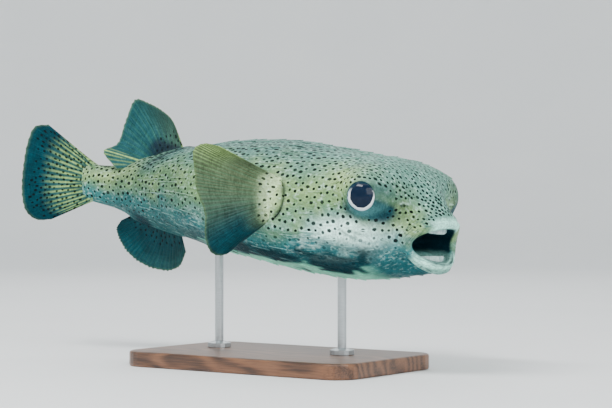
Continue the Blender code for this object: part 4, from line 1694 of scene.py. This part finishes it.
@dataclass(frozen=True)
class FishSkin(Finish):
    """Painted and satin-varnished fish skin: soft broken colour, a fine leathery grain and a moist sheen."""

    name: str = "varnished_fish_skin"
    roughness: float = 0.42
    ior: float = 1.13
    flank: str = "668A5E"
    back: str = "5E897C"
    yellow: str = "A8BE7A"
    # painted shade of the lower flank
    shade_blue: str = "1E6870"
    # painted shade, and the darker colour of the belly band, chin, stalk and back
    dusk_and_shade: str = "0A3038"
    # pale skin, and the colour of the painted highlight streaks
    pale: str = "D6FFF4"
    belly: str = "86D8BC"
    lips: str = "B0F0DE"
    # lid skin, deepened as painted shade below and ahead of the eye
    lid: str = "3A6668"
    # painted shade in creases and wrinkles
    crease: str = "18404A"
    # the dark blotch at the back fin's foot, and painted shade in slits, grooves and nostrils
    blotch_and_slit_shade: str = "14152A"
    # painted shade inside the mouth
    inside: str = "0A2630"
    spot: str = "03070A"
    web_teal: str = "0A4A54"
    web_olive: str = "4E5C42"
    # dark fin ends, and painted shade on the anal fin
    dark_web_and_shade: str = "04343E"
    ray: str = "3E7054"
    # pale rays and rims, and painted light and highlights on the fins
    pale_ray_and_highlight: str = "94B66C"

    def paint(self, tree: Tree) -> dict[str, Socket]:
        """Draws what varies over the surface.

        Args:
            tree: the material's nodes.

        Returns:
            What feeds the shader's inputs.
        """
        fin, light, olive = parts_of(tree, "fin")
        rays = self.rays(tree)
        fine = self.grain(tree, 1.6, 3)
        blotch_and_slit_shade = parts_of(tree, "zone")[2]
        fins = self.web(tree, rays, light, olive)
        colour = layered(tree, self.body(tree), (fin, fins), (blotch_and_slit_shade, self.blotch_and_slit_shade))
        spot, halo = self.spots(tree, fin)
        marble = self.grain(tree, 1.7, 3, (3, 1, 1), self.chart(tree))
        patchy = self.grain(tree, 11, 4)
        shade = node(tree, "Math", {0: patchy, 1: fine}, operation="ADD")
        shade = node(tree, "Math", {0: shade, 1: marble}, operation="ADD")
        shade = node(tree, "MapRange", {0: shade, 1: 1.0, 2: 2.0, 3: 0.5, 4: 1.46})
        shade = node(tree, "Math", {0: halo, 1: 0.25, 2: shade}, operation="MULTIPLY_ADD")
        colour = node(tree, "VectorMath", {0: colour, "Scale": shade}, operation="SCALE")
        # Lays the painted shade inside the mouth.
        inside = parts_of(tree, "bare")[1]
        colour = layered(tree, colour, (spot, self.spot), (inside, self.inside))
        dull = node(tree, "MapRange", {0: fine, 1: 0.3, 2: 0.7, 3: 0.36, 4: 0.55})
        return {"Base Color": colour, "Roughness": dull, "Normal": self.bump(tree, fin, rays)}

    @staticmethod
    def chart(tree: Tree) -> Socket:
        """The unwrap in millimetres: along the fish, and round it."""
        return node(tree, "Attribute", out="Vector", attribute_name="chart")

    def body(self, tree: Tree) -> Socket:
        """Head, trunk and tail: zones the mesh keeps, painted shade among them, and finer painted highlight streaks
        and crease shade.

        Args:
            tree: the material's nodes.

        Returns:
            The colour.
        """
        back, pale, dusk_and_shade = parts_of(tree, "tone")
        belly, yellow, _ = parts_of(tree, "zone")
        bare, _, lid = parts_of(tree, "bare")
        highlight_streak, crease_shade, lower_shade = parts_of(tree, "folds")
        warm = self.grain(tree, 17, 2, span=(0.4, 0.75), top=0.38)
        lines = self.grain(tree, 2.0, 3, (4, 1, 1), span=(0.46, 0.68), top=0.85)
        flecks = self.grain(tree, 2.8, 2, (1.6, 1, 1), span=(0.54, 0.72), top=0.32)
        furrows = self.grain(tree, 1.2, 2, (1, 6, 1), self.chart(tree), span=(0.48, 0.66), top=0.9)
        highlight_streak = node(tree, "Math", {0: highlight_streak, 1: lines}, operation="MULTIPLY")
        crease_shade = node(tree, "Math", {0: crease_shade, 1: furrows}, operation="MULTIPLY")
        return layered(
            tree, self.flank, (warm, self.yellow), (back, self.back), (yellow, self.yellow), (lower_shade, self.shade_blue),
            (flecks, self.pale), (dusk_and_shade, self.dusk_and_shade), (pale, self.pale), (highlight_streak, self.pale), (belly, self.belly),
            (lid, self.lid), (bare, self.lips), (crease_shade, self.crease),
        )

    def rays(self, tree: Tree) -> Socket:
        """The lines of the fin rays, which fork on their way out.

        Args:
            tree: the material's nodes.

        Returns:
            1 on the crest of a ray and 0 between rays.
        """
        turn, out, fork = parts_of(tree, "rays")
        waves = []
        for turns in (2 * math.pi, 4 * math.pi):
            angle = node(tree, "Math", {0: turn, 1: turns}, operation="MULTIPLY")
            waves.append(node(tree, "Math", {0: angle}, operation="COSINE"))
        past = node(tree, "Math", {0: out, 1: fork}, operation="SUBTRACT")
        past = node(tree, "MapRange", {0: past, 1: -0.1, 2: 0.15})
        wave = node(tree, "Mix", {0: past, 2: waves[0], 3: waves[1]})
        return node(tree, "MapRange", {0: wave, 1: -0.5, 2: 1.0}, interpolation_type="SMOOTHSTEP")

    def web(self, tree: Tree, rays: Socket, light: Socket, olive: Socket) -> Socket:
        """Fin colour: olive to teal webs, lighter rays, dark ends and painted shade, pale webs and painted
        highlights, a pale rim.

        Args:
            tree: the material's nodes.
            rays: the lines of the rays.
            light: how light the rays are.
            olive: how olive the webs are.

        Returns:
            The colour.
        """
        pale, dark, rim = parts_of(tree, "web")
        ray = node(tree, "Math", {0: rays, 1: light}, operation="MULTIPLY")
        lined = node(tree, "MapRange", {0: rays, 3: 0.08, 4: 1.0})
        pale = node(tree, "Math", {0: pale, 1: lined}, operation="MULTIPLY")
        dark = node(tree, "Math", {0: dark, 1: 0.95}, operation="MULTIPLY")
        return layered(
            tree, self.web_teal, (olive, self.web_olive), (ray, self.ray), (dark, self.dark_web_and_shade),
            (pale, self.pale_ray_and_highlight), (rim, self.pale_ray_and_highlight),
        )

    def spots(self, tree: Tree, fin: Socket) -> tuple[Socket, Socket]:
        """The spots and the light rings round them.

        Args:
            tree: the material's nodes.
            fin: how much a place is fin, which has no light rings.

        Returns:
            How black a place is, and how light.
        """
        place = node(tree, "TexCoord", out="Object")
        middle = node(tree, "Attribute", out="Vector", attribute_name="spot_middle")
        flow = node(tree, "Attribute", out="Vector", attribute_name="flow")
        width, length, dark = parts_of(tree, "spot_size")
        off = node(tree, "VectorMath", {0: place, 1: middle}, operation="SUBTRACT")
        along = node(tree, "VectorMath", {0: off, 1: flow}, out=1, operation="DOT_PRODUCT")
        whole = node(tree, "VectorMath", {0: off, 1: off}, out=1, operation="DOT_PRODUCT")
        square = node(tree, "Math", {0: along, 1: along}, operation="MULTIPLY")
        inverse = node(tree, "Math", {0: length, 1: -2.0}, operation="POWER")
        squeeze = node(tree, "Math", {0: inverse, 1: 1.0}, operation="SUBTRACT")
        reach = node(tree, "Math", {0: square, 1: squeeze, 2: whole}, operation="MULTIPLY_ADD")
        reach = node(tree, "Math", {0: reach}, operation="SQRT")
        share = node(tree, "Math", {0: reach, 1: width}, operation="DIVIDE")
        uneven = self.grain(tree, 1.3, 1)
        share = node(tree, "Math", {0: uneven, 1: 0.8, 2: share}, operation="MULTIPLY_ADD")
        soft = {"interpolation_type": "SMOOTHSTEP"}
        spot = node(tree, "MapRange", {0: share, 1: 1.2, 2: 1.65, 3: 1.0, 4: 0.0}, **soft)
        spot = node(tree, "Math", {0: spot, 1: dark}, operation="MULTIPLY")
        halo = node(tree, "MapRange", {0: share, 1: 3.0, 2: 1.9, 3: 0.0, 4: 1.0}, **soft)
        body = node(tree, "Math", {0: 1.0, 1: fin}, operation="SUBTRACT")
        halo = node(tree, "Math", {0: halo, 1: body}, operation="MULTIPLY")
        return spot, halo

    def bump(self, tree: Tree, fin: Socket, rays: Socket) -> Socket:
        """Raises the surface: leathery grain on the body, ribs on the fins.

        Args:
            tree: the material's nodes.
            fin: how much a place is fin.
            rays: the lines of the rays.

        Returns:
            The raised surface's normal.
        """
        leather = self.grain(tree, 2.4, 4)
        lines = self.grain(tree, 0.8, 1, (1, 30, 1), self.chart(tree))
        ribs = node(tree, "Math", {0: rays, 1: 0.5, 2: lines}, operation="MULTIPLY_ADD")
        height = node(tree, "Mix", {0: fin, 2: leather, 3: ribs})
        return node(tree, "Bump", {"Height": height, "Strength": 0.8, "Distance": 1.1 * MM})


@dataclass(frozen=True)
class GlassEye(Finish):
    """A cast glass eye with a painted back: a deep blue-black pupil and a bright silver iris under a clear front."""

    name: str = "painted_glass_eye"
    roughness: float = 0.5
    ior: float = 1.12
    coat: float = 0.48
    coat_roughness: float = 0.015
    coat_ior: float = 1.37
    pupil: str = "00162C"
    inner: str = "F2FAFA"
    silver: str = "B4D3DC"
    outer: str = "102C3A"
    shaded: str = "0C2836"
    pupil_radius: float = 10.2

    def paint(self, tree: Tree) -> dict[str, Socket]:
        """Draws what varies over the surface.

        Args:
            tree: the material's nodes.

        Returns:
            What feeds the shader's inputs.
        """
        own = node(tree, "Attribute", out="Vector", attribute_name="iris")
        flat = node(tree, "VectorMath", {0: own, 1: (1, 1, 0)}, operation="MULTIPLY")
        off = node(tree, "VectorMath", {0: flat}, out=1, operation="LENGTH")
        ragged = self.grain(tree, 5.0, 3, where=own)
        off = node(tree, "Math", {0: ragged, 1: 2.2, 2: off}, operation="MULTIPLY_ADD")
        edge = self.pupil_radius + 1.1
        iris = node(tree, "MapRange", {0: off, 1: edge - 0.2, 2: edge + 0.15})
        fade = node(tree, "MapRange", {0: off, 1: edge + 0.3, 2: edge + 2.4})
        ring = node(tree, "MapRange", {0: off, 1: edge + 2.3, 2: edge + 2.9})
        height = node(tree, "SeparateXYZ", {0: own}, out=1)
        upper = node(tree, "MapRange", {0: height, 1: 0.0, 2: 6.0})
        colour = layered(tree, self.inner, (fade, self.silver), (upper, self.shaded), (ring, self.outer))
        return {"Base Color": layered(tree, self.pupil, (iris, colour))}


@dataclass(frozen=True)
class Enamel(Finish):
    """Tooth enamel: off-white darkened to blue-grey as painted shade of the mouth, with teal-grey stains and faint
    growth lines, polished by wear.
    """

    name: str = "tooth_enamel"
    roughness: float = 0.22
    ior: float = 1.62
    coat: float = 0.3
    # off-white enamel darkened to blue-grey as painted shade of the mouth
    light: str = "BCD6D2"
    stained: str = "6F9A9A"

    def paint(self, tree: Tree) -> dict[str, Socket]:
        """Draws what varies over the surface.

        Args:
            tree: the material's nodes.

        Returns:
            What feeds the shader's inputs.
        """
        stain = self.grain(tree, 2.2, 4, (1, 1, 2.5), span=(0.35, 0.75))
        lines = self.grain(tree, 0.7, 2, (4, 4, 1))
        bump = node(tree, "Bump", {"Height": lines, "Strength": 0.2, "Distance": 0.2 * MM})
        return {"Base Color": layered(tree, self.light, (stain, self.stained)), "Normal": bump}


@dataclass(frozen=True)
class Walnut(Finish):
    """Planed and oiled walnut: long brown grain with darker rings and pores along the board."""

    name: str = "oiled_walnut"
    roughness: float = 0.38
    coat: float = 0.15
    coat_roughness: float = 0.3
    light: str = "7A5238"
    dark: str = "3A2418"
    pore: str = "21140D"

    def paint(self, tree: Tree) -> dict[str, Socket]:
        """Draws what varies over the surface.

        Args:
            tree: the material's nodes.

        Returns:
            What feeds the shader's inputs.
        """
        wander = self.grain(tree, 60, 2, (2.5, 1, 1))
        place = node(tree, "TexCoord", out="Object")
        across = node(tree, "SeparateXYZ", {0: place}, out=1)
        rings = node(tree, "Math", {0: wander, 1: 0.09, 2: across}, operation="MULTIPLY_ADD")
        rings = node(tree, "Math", {0: rings, 1: 520.0}, operation="MULTIPLY")
        rings = node(tree, "Math", {0: rings}, operation="SINE")
        fibre = self.grain(tree, 1.1, 3, (26, 1, 1))
        blend = node(tree, "Math", {0: rings, 1: 0.22, 2: fibre}, operation="MULTIPLY_ADD")
        blend = node(tree, "MapRange", {0: blend, 1: 0.25, 2: 0.8})
        pores = self.grain(tree, 0.5, 1, (34, 1, 1), span=(0.64, 0.72), top=0.7)
        bump = node(tree, "Bump", {"Height": fibre, "Strength": 0.15, "Distance": 0.2 * MM})
        return {"Base Color": layered(tree, self.light, (blend, self.dark), (pores, self.pore)), "Normal": bump}


@dataclass(frozen=True)
class BrushedSteel(Finish):
    """Stainless steel rod brushed round and round: fine turned lines and a soft long highlight."""

    name: str = "brushed_stainless_steel"
    roughness: float = 0.3
    metallic: float = 1.0
    light: str = "C6CACC"
    dark: str = "9FA5A8"

    def paint(self, tree: Tree) -> dict[str, Socket]:
        """Draws what varies over the surface.

        Args:
            tree: the material's nodes.

        Returns:
            What feeds the shader's inputs.
        """
        lines = self.grain(tree, 0.35, 2, (20, 20, 1))
        dull = node(tree, "MapRange", {0: lines, 3: 0.22, 4: 0.42})
        bump = node(tree, "Bump", {"Height": lines, "Strength": 0.1, "Distance": 0.05 * MM})
        return {"Base Color": layered(tree, self.light, (lines, self.dark)), "Roughness": dull, "Normal": bump}


@dataclass(frozen=True)
class StudioPaint(Finish):
    """Matt emulsion on the studio's floor and wall: pale, even, with the faintest roller texture."""

    name: str = "pale_studio_paint"
    roughness: float = 0.85
    tint: str = "EDEFEF"
    shade: str = "E6E9EA"

    def paint(self, tree: Tree) -> dict[str, Socket]:
        """Draws the roller's texture, for the shader's inputs by name."""
        return {"Base Color": layered(tree, self.tint, (self.grain(tree, 240, 3), self.shade))}


@dataclass
class Studio:
    """A round pale cove with the fish in its middle, soft lamps over it, and the camera."""

    floor_radius: float = 2.6
    cove_radius: float = 1.4
    wall_top: float = 4.0
    lens: float = 105.0
    distance: float = 1.5
    azimuth: float = math.radians(36)
    target: tuple[float, float, float] = (0.093, -0.0842, 0.1483)
    # place, width and height, power and what it points at
    lamps: tuple = (
        ("key_lamp", (-0.15, -1.1, 1.65), (1.1, 0.3), 34.0, (0.0, 0.0, 0.12)),
        ("fill_lamp", (1.7, -0.9, 0.9), (1.2, 1.2), 24.0, (0.05, 0.0, 0.12)),
        ("back_lamp", (-1.0, 1.2, 1.5), (1.2, 1.2), 9.0, (0.0, 0.0, 0.12)),
    )
    wall_lamps: int = 5

    def cove(self) -> Piece:
        """Models floor and wall as one turned shell.

        Returns:
            The shell.
        """
        bpy.ops.object.select_all(action="DESELECT")
        bpy.ops.mesh.primitive_circle_add(vertices=96, radius=self.floor_radius, fill_type="NGON")
        piece = added("studio_cove")
        turns = np.radians(np.arange(0, 91, 10))
        radii = self.floor_radius + self.cove_radius * np.sin(turns)
        levels = self.cove_radius * (1 - np.cos(turns))
        with editing(piece):
            bpy.ops.mesh.poke()
            bpy.ops.mesh.select_mode(type="EDGE")
            bpy.ops.mesh.select_all(action="DESELECT")
            bpy.ops.mesh.select_non_manifold()
            for wider, step in zip(radii[1:] / radii[:-1], np.diff(levels)):
                bpy.ops.mesh.extrude_edges_move(TRANSFORM_OT_translate={"value": (0, 0, step)})
                bpy.ops.transform.resize(value=(wider, wider, 1), center_override=(0, 0, 0))
            straight = self.wall_top - self.cove_radius
            bpy.ops.mesh.extrude_edges_move(TRANSFORM_OT_translate={"value": (0, 0, straight)})
        face_out(piece, inside=True)
        bpy.ops.object.shade_smooth()
        return piece

    def light(self) -> None:
        """Sets the lamps and the pale light of the room."""
        lamps = list(self.lamps)
        for number in range(self.wall_lamps):
            turn = 2 * math.pi * number / self.wall_lamps
            place = (1.6 * math.cos(turn), 1.6 * math.sin(turn), 3.1)
            aim = (3.9 * math.cos(turn), 3.9 * math.sin(turn), 0.5)
            lamps.append((f"wall_lamp_{number}", place, (2.0, 1.0), 26.0, aim))
        for name, place, size, power, aim in lamps:
            lamp = bpy.data.lights.new(name, "AREA")
            lamp.shape = "RECTANGLE"
            lamp.size, lamp.size_y = size
            lamp.energy = power
            made = bpy.data.objects.new(name, lamp)
            made.location = place
            made.rotation_euler = (Vector(aim) - Vector(place)).to_track_quat("-Z", "Y").to_euler()
            made.visible_camera = False
            bpy.context.scene.collection.objects.link(made)
        world = bpy.data.worlds.new("studio_air")
        bpy.context.scene.world = world
        world.use_nodes = True
        air = world.node_tree.nodes["Background"]
        air.inputs["Color"].default_value = linear("E8F0F4")
        air.inputs["Strength"].default_value = 0.42

    def camera(self) -> None:
        """Sets the camera level with the fish, ahead of its right side."""
        data = bpy.data.cameras.new("camera")
        data.lens = self.lens
        data.sensor_width = 36.0
        made = bpy.data.objects.new("camera", data)
        back = Vector((math.sin(self.azimuth), -math.cos(self.azimuth), 0))
        made.location = Vector(self.target) + back * self.distance
        made.rotation_euler = Euler((math.pi / 2, 0, self.azimuth))
        bpy.context.scene.collection.objects.link(made)
        bpy.context.scene.camera = made


class Part(Enum):
    """The new pieces: each one's slot in the record, and the nodes that it stands for."""

    SKIN = ("skin", ("head", "trunk", "tail", "fin_dorsal", "fin_anal", "fin_caudal", "fin_pectoral_left",
                     "fin_pectoral_right"))
    SPINES = ("skin", ())
    EYE_RIGHT = ("eye", ("eye_right",))
    EYE_LEFT = ("eye", ("eye_left",))

    def claim(self, piece: Piece, finish: bpy.types.Material) -> None:
        """Dresses a piece, and says what it rides on and what it stands for.

        Args:
            piece: the new piece.
            finish: its material.
        """
        slot, nodes = self.value
        piece.data.materials.clear()
        piece.data.materials.append(finish)
        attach(piece, "root")
        if nodes:
            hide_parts(*nodes)
        LOG.info("%s: %d faces, in the place of %s", piece.name, len(piece.data.polygons), ", ".join(nodes) or "none")


def dress(name: str, finish: bpy.types.Material) -> None:
    """Gives a solid of the frame its finish.

    Args:
        name: its node.
        finish: its material.
    """
    solid = frame["nodes"][name]
    solid.data.materials.clear()
    solid.data.materials.append(finish)
    LOG.info("%s: %s", name, finish.name)


def main() -> None:
    """Builds the fish, dresses the stand and the teeth, and sets the studio."""
    logging.basicConfig(level=logging.INFO, format="%(message)s")
    skin = Skin()
    hide = FishSkin().build()
    Part.SKIN.claim(skin.build(), hide)
    Part.SPINES.claim(Spines(skin).build(), hide)
    glass = GlassEye().build()
    Part.EYE_RIGHT.claim(Eye(skin, -1, "right").build(), glass)
    Part.EYE_LEFT.claim(Eye(skin, 1, "left").build(), glass)
    enamel, steel = Enamel().build(), BrushedSteel().build()
    for name in ("tooth_plate_upper", "tooth_plate_lower"):
        dress(name, enamel)
    for name in ("stand_rod_front", "stand_rod_rear"):
        dress(name, steel)
    dress("stand_base", Walnut().build())
    studio = Studio()
    cove = studio.cove()
    cove.data.materials.append(StudioPaint().build())
    studio.light()
    studio.camera()


if __name__ == "__main__":
    main()
